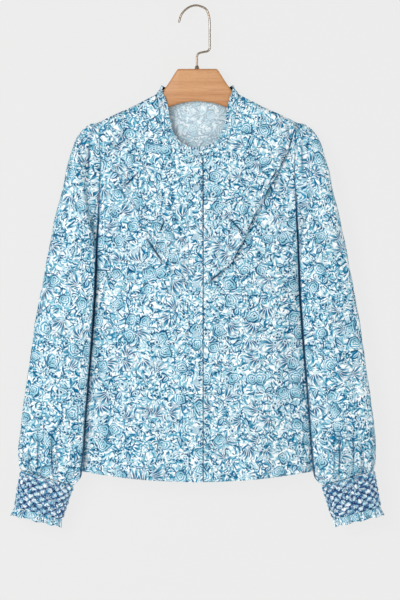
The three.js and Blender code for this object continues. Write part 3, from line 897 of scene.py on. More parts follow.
    def leaves(self, s: Shader, colour: Signal, cell: Cell, size: float, tones: tuple[str, str],
               width: float, share: float, shade: float) -> Signal:
        """Lays scattered curved leaves over the colour.

        Args:
            s: The shader.
            colour: What lies below.
            cell: The place in the leaf's cell.
            size: Size of a cell.
            tones: The lightest and the deepest colour of a leaf.
            width: Half width of a leaf.
            share: Share of the cells that stay bare.
            shade: How strongly one half of a leaf is darker.

        Returns:
            The new colour.
        """
        mask, across = self.leaf(cell.x, cell.y, size * 0.66, width, 0.5 / size, 0.35)
        tone = s.blend(tones[0], tones[1], cell.tone.step(0.2, 0.8))
        half = across.step(0.0, width * 0.5) * cell.pick.step(share, 1.0) * shade * 0.8
        tone = s.blend(tone, self.dark, half)
        return s.blend(colour, tone, mask * (cell.pick > share))

    def pattern(self, s: Shader, place: Signal) -> Signal:
        """The whole print.

        Args:
            s: The shader.
            place: The place on the flat cloth in millimetres.

        Returns:
            The colour.
        """
        wander = s.other(s.noise(place, 1 / 17, 0.0), "Color", vector=True) - 0.5
        place = place + wander * 7.0
        wash = s.noise(place, 1 / 6, 2.0)
        colour = s.blend(self.white, self.pale, wash.step(0.45, 0.53))
        colour = s.blend(colour, self.light, wash.step(0.61, 0.67) * 0.7)
        for size, seed, tones, width, share, shade in (
            (9.6, 7.0, (self.pale, self.light), 2.0, 0.5, 0.4),
            (6.2, 1.0, (self.light, self.mid), 1.0, 0.45, 0.6),
            (11.6, 3.0, (self.light, self.deep), 1.6, 0.4, 1.0),
            (7.4, 2.0, (self.mid, self.dark), 1.15, 0.42, 1.0),
            (4.7, 8.0, (self.mid, self.dark), 0.9, 0.58, 1.0),
        ):
            cell = s.cells(place, size, 0.75, seed)
            colour = self.leaves(s, colour, cell, size, tones, width, share, shade)
        vine = abs(s.noise(place + (311.0, 127.0, 0.0), 1 / 27, 1.0) - 0.43)
        colour = s.blend(colour, self.deep, vine.step(0.012, 0.006) * 0.9)
        twig = s.cells(place, 17.0, 0.7, 4.0)
        mask, out = self.sprig(twig, 9.5, 4.6, 4.8)
        tone = s.blend(self.dark, self.light, out.step(0.1, 1.0))
        colour = s.blend(colour, tone, mask * (twig.pick > 0.55))
        big = s.cells(place, 25.0, 0.55, 5.0)
        colour = s.blend(colour, self.rose(s, big, colour, 10.5), big.pick < 0.26)
        colour = self.fan(s, big, colour, 24.0, (big.pick > 0.26) * (big.pick < 0.46))
        colour = self.bud(s, big, colour, 8.0, (big.pick > 0.46) * (big.pick < 0.66))
        small = s.cells(place, 14.0, 0.7, 6.0)
        far = (small.x * small.x + small.y * small.y) ** 0.5
        lobes = (small.y.math("ARCTAN2", small.x) * 2.5).math("SINE")
        bloom = (abs(lobes) * 2.2 + 2.4 - far).step(0.0, 0.5) * (small.pick > 0.8)
        return s.blend(colour, s.blend(self.dark, self.pale, far.step(1.0, 1.9) * far.step(4.2, 3.0)), bloom)

    def relief(self, s: Shader, place: Signal) -> Signal:
        """The weave and the small crumples of the cloth.

        Args:
            s: The shader.
            place: The place on the flat cloth in millimetres.

        Returns:
            The height in millimetres.
        """
        x, y, _ = s.split(place)
        weave = (x * 9.0).math("SINE") * (y * 9.0).math("SINE") * 0.02
        return weave + s.noise(place, 1 / 11, 3.0) * 0.9 + s.noise(place, 1 / 38, 1.0) * 2.2

    def material(self, name: str, faded: float = 0.0) -> Material:
        """Builds the cloth.

        Args:
            name: Name of the material.
            faded: How far the print is lost towards white, 0 to 1; the reverse of the cloth shows it weakly.

        Returns:
            The material.
        """
        s = Shader(name)
        place = s.flat_place(UV_NAME, 1000.0)
        colour = self.pattern(s, place)
        if faded:
            colour = s.blend(colour, "#E8F5FB", faded)
        # Painted shade: the colour turns dark blue (mid blue on the inside) and then near-black as the
        # painted shade grows
        outer, inner, _ = s.split(s.flat_place(PAINTED_SHADE_UV, 1.0))
        deep = inner if faded else outer
        colour = s.blend(colour, self.mid if faded else self.dark, deep.step(0.0, 0.75) * 0.85)
        colour = s.blend(colour, self.painted_shade, deep.step(0.3, 1.0))
        return s.surface(colour, self.roughness, {"Specular IOR Level": 0.06}, self.relief(s, place))


@dataclass(frozen=True)
class SmockedCloth(PrintCloth):
    """The same cloth gathered into small puffs with dark thread in the valleys, a painted highlight on each
    puff and painted shade on its sides.
    """

    thread: str = "#22437F"

    def material(self, name: str, faded: float = 0.0) -> Material:
        """Builds the smocked cloth.

        Args:
            name: Name of the material.
            faded: How far the print is lost towards white.

        Returns:
            The material.
        """
        s = Shader(name)
        place = s.flat_place(UV_NAME, 1000.0)
        print_here = self.pattern(s, place)
        drift = s.other(s.noise(place, 1 / 5, 2.0), "Color", vector=True) - 0.5
        a, b, _ = s.split(s.flat_place(SMOCK_UV, 1.0) + drift * 0.55)
        first = abs(((a + b) * math.pi).math("SINE"))
        second = abs(((a - b) * math.pi).math("SINE"))
        knot = first.math("MAXIMUM", second)
        broken = s.noise(place + (57.0, 23.0, 0.0), 1 / 3.2, 1.0).step(0.4, 0.53)
        begun = b.step(-0.2, 1.3)
        puff = first * second
        # Painted highlight on the top of each puff, then painted blue shade towards the valleys
        colour = s.blend(print_here, self.white, puff.step(0.5, 0.95) * 0.28)
        colour = s.blend(colour, "#3A78AB", puff.step(0.7, 0.15) * (0.3 + 0.25 * begun))
        colour = s.blend(colour, self.thread, puff.step(0.32, 0.08) * (0.25 + 0.75 * broken) * begun)
        colour = s.blend(colour, "#152B57", knot.step(0.6, 0.4) * begun)
        if faded:
            colour = s.blend(colour, "#EDF5F8", faded)
        return s.surface(colour, self.roughness, {"Specular IOR Level": 0.06}, self.relief(s, place))


@dataclass(frozen=True)
class Thread:
    """Sewing thread with a fine twist."""

    tint: str = "#DCE9EF"

    def material(self, name: str) -> Material:
        """Builds the thread.

        Args:
            name: Name of the material.

        Returns:
            The material.
        """
        s = Shader(name)
        place = s.object_place((3000.0, 3000.0, 3000.0))
        twist = s.noise(place, 1.0, 1.0, "3D")
        colour = s.blend(self.tint, "#9FB7C6", twist.step(0.4, 0.7))
        return s.surface(colour, 0.6, {"Specular IOR Level": 0.3}, twist, 0.00005)


@dataclass(frozen=True)
class Beech:
    """Varnished beech with a fine straight grain."""

    light: str = "#CE9867"
    warm: str = "#B97D4A"
    vein: str = "#96592B"

    def material(self, name: str) -> Material:
        """Builds the wood.

        Args:
            name: Name of the material.

        Returns:
            The material.
        """
        s = Shader(name)
        place = s.object_place()
        bands = s.noise(place * (5.0, 60.0, 90.0), 1.0, 4.0, "3D")
        fine = s.noise(place * (28.0, 500.0, 700.0), 1.0, 2.0, "3D")
        fleck = s.noise(place * (160.0, 900.0, 1400.0), 1.0, 1.0, "3D")
        colour = s.blend(self.light, self.warm, bands.step(0.32, 0.7))
        colour = s.blend(colour, self.vein, fine.step(0.5, 0.72) * 0.34)
        colour = s.blend(colour, self.vein, fleck.step(0.6, 0.72) * 0.34)
        rough = 0.34 + fine * 0.16
        return s.surface(colour, rough, {"Specular IOR Level": 0.5, "Coat Roughness": 0.2},
                         fine * 0.5 + fleck * 0.3, 0.0001)


@dataclass(frozen=True)
class HookWire:
    """Pale warm plated wire."""

    tint: str = "#9A8E80"

    def material(self, name: str) -> Material:
        """Builds the metal.

        Args:
            name: Name of the material.

        Returns:
            The material.
        """
        s = Shader(name)
        place = s.object_place((900.0, 900.0, 90.0))
        scratch = s.noise(place, 1.0, 3.0, "3D")
        colour = s.blend(self.tint, "#A4917D", scratch.step(0.45, 0.75))
        return s.surface(colour, 0.2 + scratch * 0.14, {"Metallic": 1.0}, scratch, 0.00002)


@dataclass(frozen=True)
class ButtonShell:
    """Glossy off-white button."""

    tint: str = "#BAD6E3"

    def material(self, name: str) -> Material:
        """Builds the button's finish.

        Args:
            name: Name of the material.

        Returns:
            The material.
        """
        s = Shader(name)
        cloud = s.noise(s.object_place((260.0, 260.0, 260.0)), 1.0, 3.0, "3D")
        colour = s.blend(self.tint, "#93BACD", cloud.step(0.35, 0.75))
        return s.surface(colour, 0.22 + cloud * 0.1, {"Specular IOR Level": 0.5}, cloud, 0.0001)


@dataclass
class Finishes:
    """All materials of the blouse and its hanger."""

    printed: Sequence[Material]
    smocked: Sequence[Material]
    thread: Material
    navy: Material
    wood: Material
    metal: Material
    button: Material

    @classmethod
    def made(cls) -> "Finishes":
        """Builds every finish once.

        Returns:
            The finishes.
        """
        cloth, smocked = PrintCloth(), SmockedCloth()
        return cls(
            printed=(cloth.material("blue_print"), cloth.material("blue_print_reverse", 0.51)),
            smocked=(smocked.material("smocked_print"), smocked.material("smocked_print_reverse", 0.5)),
            thread=Thread().material("pale_thread"),
            navy=Thread("#22437F").material("navy_thread"),
            wood=Beech().material("beech"),
            metal=HookWire().material("pale_wire"),
            button=ButtonShell().material("button_shell"),
        )


def register(piece: Piece, slot: Slot, *nodes: str) -> Piece:
    """Parents a piece to the body and hides the CAD nodes that it stands for.

    Args:
        piece: The new piece.
        slot: Not used.
        nodes: The CAD nodes that it stands for.

    Returns:
        The piece.
    """
    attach(piece, BODY)
    if nodes:
        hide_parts(*nodes)
    LOG.info("%s: %d faces", piece.name, len(piece.data.polygons))
    return piece


def sew(name: str, parts: Sequence[Mesh], thread: Material, slot: Slot) -> None:
    """Adds a piece of thread from its stitches."""
    register(new_object(name, *joined(parts), [thread]), slot)


# ---- the body

# The fifth number of a crease, where given, is the painted shade in its bottom
FRONT_CREASES = (
    Crease(((-112, -372), (-100, -455), (-96, -560)), 9, 1.3),
    Crease(((-60, -480), (-66, -600), (-60, -735)), 11, 1.4, -0.6),
    Crease(((-140, -430), (-132, -560), (-140, -690)), 10, 1.2),
    Crease(((48, -470), (58, -590), (50, -740)), 11, 1.4),
    Crease(((98, -380), (112, -500), (108, -620)), 10, 1.3, -0.6),
    Crease(((140, -440), (150, -560), (160, -700)), 9, 1.1),
    Crease(((-150, -372), (-110, -408), (-84, -418)), 6, 1.0),
    Crease(((158, -376), (124, -410), (92, -424)), 6, 1.0, -0.6),
    Crease(((-34, -300), (-30, -250)), 5, 0.7),
    Crease(((34, -296), (28, -252)), 5, 0.7),
    Crease(((-87, -364), (-79, -377), (-69, -392), (-60, -405), (-55, -413)), 3.0, 1.2, 0.6, 1.0),
    Crease(((158, -186), (154, -204), (148, -224), (145, -240)), 2.4, 0.6, 0.6, 0.8),
)
BACK_CREASES = (
    Crease(((-118, -350), (-90, -460), (-96, -600)), 10, 1.4),
    Crease(((-30, -260), (-40, -420), (-30, -640)), 12, 1.4, -0.6),
    Crease(((40, -300), (52, -470), (44, -690)), 12, 1.4),
    Crease(((110, -360), (126, -500), (118, -660)), 10, 1.3, -0.6),
    Crease(((-150, -380), (-112, -420), (-70, -436)), 7, 1.1),
    Crease(((152, -380), (116, -424), (74, -440)), 7, 1.1, -0.6),
    Crease(((-120, -215), (-40, -232), (40, -230), (122, -212)), 8, 0.9),
)
CREASES = {Face.FRONT: FRONT_CREASES, Face.BACK: BACK_CREASES}
LEFT_FLOUNCE_CREASES = (
    Crease(((47, -336), (58, -345), (68, -356), (83, -370)), 2.8, 2.4, 0.6, 0.85),
    Crease(((70, -262), (92, -246)), 4.0, 1.2, 0.6, 0.4),
    Crease(((161, -186), (157, -204), (151, -224), (148, -240)), 2.4, 0.6, 0.6, 0.8),
    Crease(((36, -362), (44, -400)), 4.5, 1.4, -0.6, 0.3),
    Crease(((131, -265), (119, -281)), 3.4, 1.4, 0.6, 0.9),
)
RIGHT_FLOUNCE_CREASES = (
    Crease(((-135, -231), (-120, -220), (-109, -211)), 2.4, 1.6, 0.6, 0.75),
    Crease(((-113, -241), (-99, -230)), 2.4, 1.4, 0.6, 0.6),
    Crease(((-117, -292), (-104, -280), (-90, -265)), 2.4, 2.0, 0.6, 0.9),
    Crease(((-49, -344), (-58, -364)), 2.6, 1.8, 0.6, 0.95),
    Crease(((-35, -377), (-47, -389)), 2.6, 1.5, 0.6, 0.7),
    Crease(((-84, -364), (-76, -377), (-66, -392), (-57, -405), (-52, -413)), 3.0, 1.8, 0.6, 1.0),
)


@dataclass
class BodyForm:
    """The outer surface of the body, which every piece on it shares.

    Attributes:
        seam_gap: Half gap where front and back meet.
        shoulder: Outer end of the shoulder, x and z.
        armpit_z: Height of the armpit.
        hem_side: Side end of the hem, x and z.
        hem_centre_z: Lowest point of the hem.
        shoulder_roll: How far the cloth rolls over the shoulder.
        side_round: How far from the edge the body reaches its full depth.
        hem_wave: Height of the soft waves above the hem.
        hem_wave_length: Length of one of them.
        necks: The neck line of each face.
        shoulder_line: The shoulder seam.
        crumple: The uneven waves of the cloth.
    """

    seam_gap: float = 0.175
    shoulder: tuple[float, float] = (160.0, -187.0)
    armpit_z: float = -345.0
    hem_side: tuple[float, float] = (210.0, -742.0)
    hem_centre_z: float = -763.0
    shoulder_roll: float = 9.0
    side_round: float = 140.0
    hem_wave: float = 2.6
    hem_wave_length: float = 92.0
    necks: dict = field(default_factory=lambda: {face: SmoothLine(NECKS[face]) for face in Face})
    shoulder_line: SmoothLine = field(default_factory=lambda: SmoothLine(SHOULDER_LINE[1:]))
    crumple: Crumple = field(default_factory=lambda: Crumple(3, 46.0))

    def armhole_spread(self, z: Array) -> Array:
        """Depth of the body at its edge."""
        t = np.clip((self.shoulder[1] - z) / (self.shoulder[1] - self.armpit_z), 0, 1)
        return 1.6 + 10 * np.sqrt(1 - t * t) + 3 * np.sin(np.pi * t)

    def depth(self, x: Array, z: Array, face: Face) -> Array:
        """How far a face stands from the middle plane.

        Args:
            x: Places across.
            z: Heights.
            face: Front or back.

        Returns:
            Depths in millimetres.
        """
        across = np.abs(x)
        drop = read_table(SHOULDER_LINE, across) - z
        roll = np.sqrt(np.maximum(1 - (1 - np.clip(drop / self.shoulder_roll, 0, 1)) ** 2, 0))
        inward = np.maximum(read_table(BODY_EDGE, z) - across, 0)
        edge = self.armhole_spread(z)
        middle = read_table(DEPTHS[face], z)
        crown = 1 - (1 - np.clip(inward / self.side_round, 0, 1)) ** 2
        shift = 0.0 if face is Face.FRONT else 30.0
        wave = self.hem_wave * smooth((-480 - z) / 260) * smooth(inward / 90)
        wave = wave * np.cos(TURN * (x + shift) / self.hem_wave_length)
        return self.seam_gap + roll * (edge - self.seam_gap + np.maximum(middle - edge, 0) * crown + wave)

    def hem_z(self, x: Array) -> Array:
        """Height of the hem."""
        rise = self.hem_side[1] - self.hem_centre_z
        return self.hem_centre_z + rise * (np.abs(x) / self.hem_side[0]) ** 2

    def place(self, face: Face, centre: float, u: Array, v: Array) -> tuple[Array, Array]:
        """A place on one half of a panel.

        Args:
            face: Front or back.
            centre: Where the half begins.
            u: 0 at the centre to 1 at the edge.
            v: 0 at the top to 1 at the hem.

        Returns:
            x and z.
        """
        neck = self.necks[face].at(np.clip(u * 2, 0, 1))
        shoulder = self.shoulder_line.at(np.clip(u * 2 - 1, 0, 1))
        top = np.where((u < 0.5)[..., None], neck, shoulder)
        edge_x = read_table(BODY_EDGE, self.shoulder[1] + (self.hem_side[1] - self.shoulder[1]) * v)
        straight = self.shoulder[0] + (self.hem_side[0] - self.shoulder[0]) * v
        top_x = top[..., 0] + centre * (1 - smooth(top[..., 0] / 45))
        hem_x = centre + (self.hem_side[0] - centre) * u
        x = top_x + (hem_x - top_x) * v + u * u * (edge_x - straight)
        z = top[..., 1] + (self.hem_z(hem_x) - top[..., 1]) * v
        return x, z

    def relief(self, x: Array, z: Array, face: Face) -> Array:
        """The creases and small waves of a face.

        Args:
            x: Places across.
            z: Heights.
            face: Front or back.

        Returns:
            Heights over its form.
        """
        away = smooth((read_table(SHOULDER_LINE, np.abs(x)) - z) / 26)
        away = away * smooth((read_table(BODY_EDGE, z) - np.abs(x)) / 16)
        total = 0.55 * self.crumple.height(x + (400 if face is Face.BACK else 0), z)
        for crease in CREASES[face]:
            total = total + crease.form(x, z)[0]
        return total * away

    def painted_gap_shade(self, x: Array, z: Array, reach: float) -> Array:
        """Painted shade in the gap between the body and the sleeve, at each place beside it.

        Args:
            x: Places across.
            z: Heights.
            reach: How far the painted shade reaches.

        Returns:
            The painted shade there, 0 to 1.
        """
        strength = 0.55 * smooth((-215 - z) / 50) + 0.43 * smooth((-290 - z) / 60)
        strength = strength * (1 - 0.3 * smooth((-470 - z) / 200))
        return strength * np.exp(-((np.abs(np.abs(x) - read_table(GAP_LINE, z)) / reach) ** 2))

    def point(self, x: Array, z: Array, face: Face, lift: Union[float, Array] = 0.0) -> Array:
        """Points of a face at some x and z, lifted off it by some millimetres."""
        y = self.depth(x, z, face) + self.relief(x, z, face) + lift
        return np.stack([x, face.value * y, z], axis=-1)


@dataclass
class Panels:
    """The two fronts and the back, with the turned hem and its stitching."""

    form: BodyForm
    finishes: Finishes
    hem_turn: float = 13.0
    top_rows: tuple[float, ...] = (0, 0.0015, 0.003, 0.005, 0.0075, 0.0105, 0.014, 0.018, 0.023, 0.03, 0.038)
    rows: int = 150

    def shares(self) -> Array:
        """Places from the top to the hem, closer together at the top."""
        return np.concatenate([self.top_rows, np.linspace(0.047, 1, self.rows)])

    def grid(self, face: Face, side: int, centre: float, columns: int) -> Array:
        """Points of one half panel.

        Args:
            face: Front or back.
            side: 1 or -1.
            centre: Where the half begins.
            columns: Columns under the neck.

        Returns:
            Its points, columns by rows by 3.
        """
        half = np.linspace(0, 0.5, columns)
        u = np.concatenate([half, np.linspace(0.5, 0.84, columns - 18)[1:], np.linspace(0.84, 1, 22)[1:]])
        uu, vv = np.meshgrid(u, self.shares(), indexing="ij")
        x, z = self.form.place(face, centre, uu, vv)
        hem = HEM_LIFT * smooth((self.form.hem_z(x) + self.hem_turn - z) / 1.2)
        return self.form.point(side * x, z, face, hem)

    def dress(self, name: str, points: Array, face: Face, shift: tuple[float, float], node: str) -> Piece:
        """Makes one panel from its points.

        Args:
            name: Name of the piece.
            points: Its grid.
            face: Front or back.
            shift: Where it lay on the printed cloth.
            node: The CAD node that it replaces.

        Returns:
            The piece.
        """
        flat = points[..., [0, 2]] + shift
        x, z = points[..., 0], points[..., 2]
        # Painted shade in the gap beside the sleeves, on the front only, and in the creases
        deep = self.form.painted_gap_shade(x, z, 1.9) * (face is Face.FRONT)
        for crease in CREASES[face]:
            deep = np.maximum(deep, crease.form(x, z)[1])
        sheet = Sheet(name, points, flat, np.array([0.0, face.value, 0.0]), deep=deep)
        return register(sheet.build(self.finishes.printed), Slot.PRINT, node)

    def hem_stitches(self) -> None:
        """Sews the turned hem on the front and the back."""
        rows = []
        for face in Face:
            x = np.linspace(-204, 204, 120)
            z = self.form.hem_z(x) + self.hem_turn - 2.2
            line = self.form.point(x, z, face, HEM_LIFT)
            rows.append(stitches(line, np.array([0.0, face.value, 0.0])))
        sew("hem_stitching", rows, self.finishes.thread, Slot.PRINT)

    def build(self) -> None:
        """Builds the panels."""
        for side, node, shift in ((Side.RIGHT, "front_right", (0.0, 0.0)),
                                  (Side.LEFT, "front_left", (61.0, 43.0))):
            centre = side.value * CENTRE_X + FRONT_GAP / 2
            points = self.grid(Face.FRONT, side.value, centre, 36)
            piece = self.dress(f"cloth_{node}", points, Face.FRONT, shift, node)
        right = self.grid(Face.BACK, -1, 0.0, 34)[::-1]
        left = self.grid(Face.BACK, 1, 0.0, 34)[1:]
        piece = self.dress("cloth_back", np.concatenate([right, left]), Face.BACK, (500.0, 20.0), "back")
        self.hem_stitches()


@dataclass
class Placket:
    """The button band down the front, with its edge stitching and buttons."""

    form: BodyForm
    finishes: Finishes
    width: float = 24.0
    top_z: float = -243.2
    stitch_inset: float = 2.4
    cut_from: tuple[float, float] = (17.0, 88.0)
    button_z: tuple[float, ...] = (-235.0, -293.0, -370.6, -448.2, -525.8, -603.4, -681.0)

    def band(self) -> None:
        """Builds the band."""
        share = np.linspace(-0.5, 0.5, 25)
        across, tt = np.meshgrid(share, np.linspace(0, 1, 200), indexing="ij")
        xx = CENTRE_X + across * self.width
        zz = self.top_z + (self.form.hem_z(xx) - self.top_z) * tt
        edge = np.abs(across) * 2
        right_half = across < 0
        dip = np.where(right_half, 1.15 * smooth((edge - 0.6) / 0.4), 0.5 * smooth((edge - 0.93) / 0.07))
        ripple = 0.22 * np.sin(zz / 4.1 + 2 * np.sin(zz / 37)) * smooth((edge - 0.5) / 0.4) * ~right_half
        # Painted shadow line along the band's raised right edge
        deep = (0.72 + 0.3 * smooth((zz + 390) / 60)) * smooth((across - 0.4) / 0.055)
        deep = deep * (0.78 + 0.22 * np.sin(zz / 1.9 + 2 * np.sin(zz / 23)))
        points = self.form.point(xx, zz, Face.FRONT, LAY_LIFT - dip + ripple)
        flat = points[..., [0, 2]] + self.cut_from
        piece = Sheet("placket_band", points, flat, OUT_OF_FRONT, deep=deep).build(self.finishes.printed)
        register(piece, Slot.PRINT, "placket")
        z = np.linspace(self.top_z - 2, self.form.hem_centre_z + 3, 150)
        x = CENTRE_X + self.width / 2 - self.stitch_inset
        line = self.form.point(np.full(z.shape, x), z, Face.FRONT, LAY_LIFT)
        sew("placket_stitching", [stitches(line, OUT_OF_FRONT)], self.finishes.thread, Slot.PRINT)

    def button(self, number: int, z: float) -> None:
        """Builds one four-hole button with its thread.

        Args:
            number: Its number from the top.
            z: Its height.
        """
        radii, tall = np.array(BUTTON_PROFILE).T
        turn = np.linspace(0, TURN, 48, endpoint=False)
        tt, rr = np.meshgrid(turn, radii, indexing="ij")
        height = np.repeat(tall[None], len(turn), 0)
        x, y = rr * np.cos(tt), rr * np.sin(tt)
        top = np.arange(len(radii)) < 12
        for hx, hy in ((1, 1), (1, -1), (-1, 1), (-1, -1)):
            away = np.hypot(x - hx, y - hy)
            height = height - np.where(top[None], 0.75 * smooth((0.62 - away) / 0.2), 0)
        lift = 0.7 if number == 1 else LAY_LIFT + 0.1
        seat = self.form.point(np.array(CENTRE_X), np.array(z), Face.FRONT, lift)
        points = np.stack([seat[0] + x, seat[1] - height, seat[2] + y], -1)
        outside = points - seat + (0, 1.0, 0)
        _, ids = grid_faces(*points.shape[:2], loop=True)
        if (grid_normals(points, True) * outside).sum(-1).mean() < 0:
            ids = ids[:, ::-1]
        piece = new_object(f"shirt_button_{number}", points.reshape(-1, 3), ids.tolist(),
                           [self.finishes.button])
        register(piece, Slot.BUTTON, f"button_{number}")
        bars = []
        for hx in (-1, 1):
            ends = [(hx, y, z) for y, z in ((-0.9, -1.0), (-1.7, -0.5), (-1.8, 0.0), (-1.7, 0.5),
                                            (-0.9, 1.0))]
            bars.append(tube_mesh(SmoothLine(ends + seat).at(np.linspace(0, 1, 9)), 0.26, 6))
        sew(f"button_thread_{number}", bars, self.finishes.thread, Slot.BUTTON)

    def build(self) -> None:
        """Builds the band and its buttons."""
        self.band()
        for number, z in enumerate(self.button_z, 1):
            self.button(number, z)


@dataclass
class Collar:
    """The narrow stand round the neck and the gathered edge on it."""

    form: BodyForm
    finishes: Finishes
    band_low: float = -0.5
    band_high: float = 9.0
    frill_height: float = 6.4
    frill_columns: int = 1081
    waves: int = 30
    wave_depth: float = 1.5

    def seam(self) -> Array:
        """The neck seam: the left front, the back, the right front.

        Returns:
            Points at even steps.
        """
        runs = []
        for face, side in ((Face.FRONT, 1), (Face.BACK, 1), (Face.BACK, -1), (Face.FRONT, -1)):
            centre = side * CENTRE_X + FRONT_GAP / 2 if face is Face.FRONT else 0.0
            u = np.linspace(0, 0.5, 70)
            x, z = self.form.place(face, centre, u, np.zeros(u.shape))
            runs.append(np.stack([side * x, face.value * self.form.depth(side * x, z, face), z], -1))
        left, back_left, back_right, right = runs
        line = np.concatenate([left, back_left[::-1][1:], back_right[1:], right[::-1][1:]])
        return SmoothLine(line, 2).at(np.linspace(0, 1, 361))

    def directions(self, seam: Array, near: Array) -> Array:
        """The way the stand rises at each point of the seam.

        Args:
            seam: Points of the neck seam.
            near: How near each is to the shoulder.

        Returns:
            One unit vector for each point.
        """
        along = np.gradient(seam, axis=0)
        flat = np.stack([along[:, 2], np.zeros(len(seam)), -along[:, 0]], -1)
        flat /= np.maximum(np.linalg.norm(flat, axis=1, keepdims=True), 1e-9)
        inward = np.stack([-seam[:, 0], np.zeros(len(seam)), -150 - seam[:, 2]], -1)
        flat *= np.where((flat * inward).sum(1) < 0, -1, 1)[:, None]
        near = near[:, None]
        back = smooth((seam[:, 1] + 2) / 8)[:, None] * (1 - near)
        lean = np.stack([-np.sign(seam[:, 0]) * 0.55, np.zeros(len(seam)), np.full(len(seam), 0.83)], -1)
        way = flat + (lean - flat) * near
        way = way + (np.array([0.0, 0.0, 1.0]) - way) * back
        for _ in range(6):
            way[1:-1] = (way[:-2] + 2 * way[1:-1] + way[2:]) / 4
        way[0] = way[-1] = (0, 0, 1)
        return way / np.linalg.norm(way, axis=1, keepdims=True)

    def build(self) -> None:
        """Builds the stand and its frill."""
        seam = self.seam()
        near = smooth((seam[:, 2] + 178) / 28) * smooth((np.abs(seam[:, 0]) - 40) / 22)
        way = self.directions(seam, near)
        length = np.concatenate([[0.0], np.cumsum(np.linalg.norm(np.diff(seam, axis=0), axis=1))])
        out = np.stack([seam[:, 0] * 0.4, seam[:, 1] * 5, np.full(len(seam), 12.0)], -1)[:, None]
        heights = np.linspace(self.band_low, self.band_high, 9)
        rise = heights[None] + 0.95 * near[:, None]
        points = seam[:, None] + way[:, None] * rise[..., None]
        normals = grid_normals(points, False)
        normals *= np.sign((normals * out).sum(-1, keepdims=True))
        t = (heights - self.band_low) / (self.band_high - self.band_low)
        puckers = 0.35 * np.sin(length / 3.4 + 2 * np.sin(length / 23))
        crowned = 0.7 * np.sin(np.pi * t)[None] + puckers[:, None] * t[None]
        points = points + normals * crowned[..., None]
        flat = np.stack(np.broadcast_arrays(length[:, None] + 700, heights[None]), -1)
        # Painted shade at the foot of the stand where it meets the front
        painted_seam_shade = (seam[:, 1] < -4) * (0.5 + 0.3 * np.sin(length / 9 + 2 * np.sin(length / 31)))
        deep = painted_seam_shade[:, None] * np.exp(-((t / 0.13) ** 2))[None]
        piece = Sheet("collar_band", points, flat, out, deep=deep).build(self.finishes.printed)
        register(piece, Slot.PRINT, "neck_band")
        self.frill(seam, way, near, length, out)

    def frill(self, seam: Array, way: Array, near: Array, length: Array, out: Array) -> None:
        """Builds the gathered edge.

        Args:
            seam: Points of the neck seam.
            way: The way the stand rises at each.
            near: How near each is to the shoulder.
            length: Length along the seam.
            out: The outer side of each.
        """
        even = np.linspace(0, length[-1], self.frill_columns)
        base, rise, outer = (
            np.stack([np.interp(even, length, c) for c in values.T], -1) for values in (seam, way, out[:, 0])
        )
        slack = np.interp(even, length, near)
        heights = np.linspace(self.band_high + 0.1, self.band_high + self.frill_height, 8)
        points = base[:, None] + rise[:, None] * (heights[None] + 1.2 * slack[:, None])[..., None]
        normals = grid_normals(points, False)
        normals *= np.sign((normals * outer[:, None]).sum(-1, keepdims=True))
        pace = TURN * self.waves * even / even[-1]
        wave = np.sin(pace + 1.4 * np.sin(pace / 5.3) + 0.8 * np.sin(pace / 2.7))
        t = (heights - heights[0]) / (heights[-1] - heights[0])
        tall = 1 + 0.25 * np.sin(pace / 3.1)
        height = 0.25 + self.wave_depth * (wave * tall)[:, None] * t[None] ** 0.8
        points = points + normals * height[..., None]
        points = points + rise[:, None] * (0.5 * np.sin(pace * 0.5)[:, None] * t[None])[..., None]
        flat = np.stack(np.broadcast_arrays(even[:, None] * 1.5, heights[None] + 60), -1)
        # Painted shade on the inside of the frill at the back, beside the hanger's plate
        shaded = 0.85 * smooth((points[..., 1] - 2) / 3) * smooth((points[..., 2] + 141) / 5)
        shaded = shaded * smooth((np.abs(points[..., 0]) - 44) / 4)
        piece = Sheet("collar_frill", points, flat, outer[:, None],
                      inner_painted_shade=shaded).build(self.finishes.printed)
        register(piece, Slot.PRINT, "neck_frill")


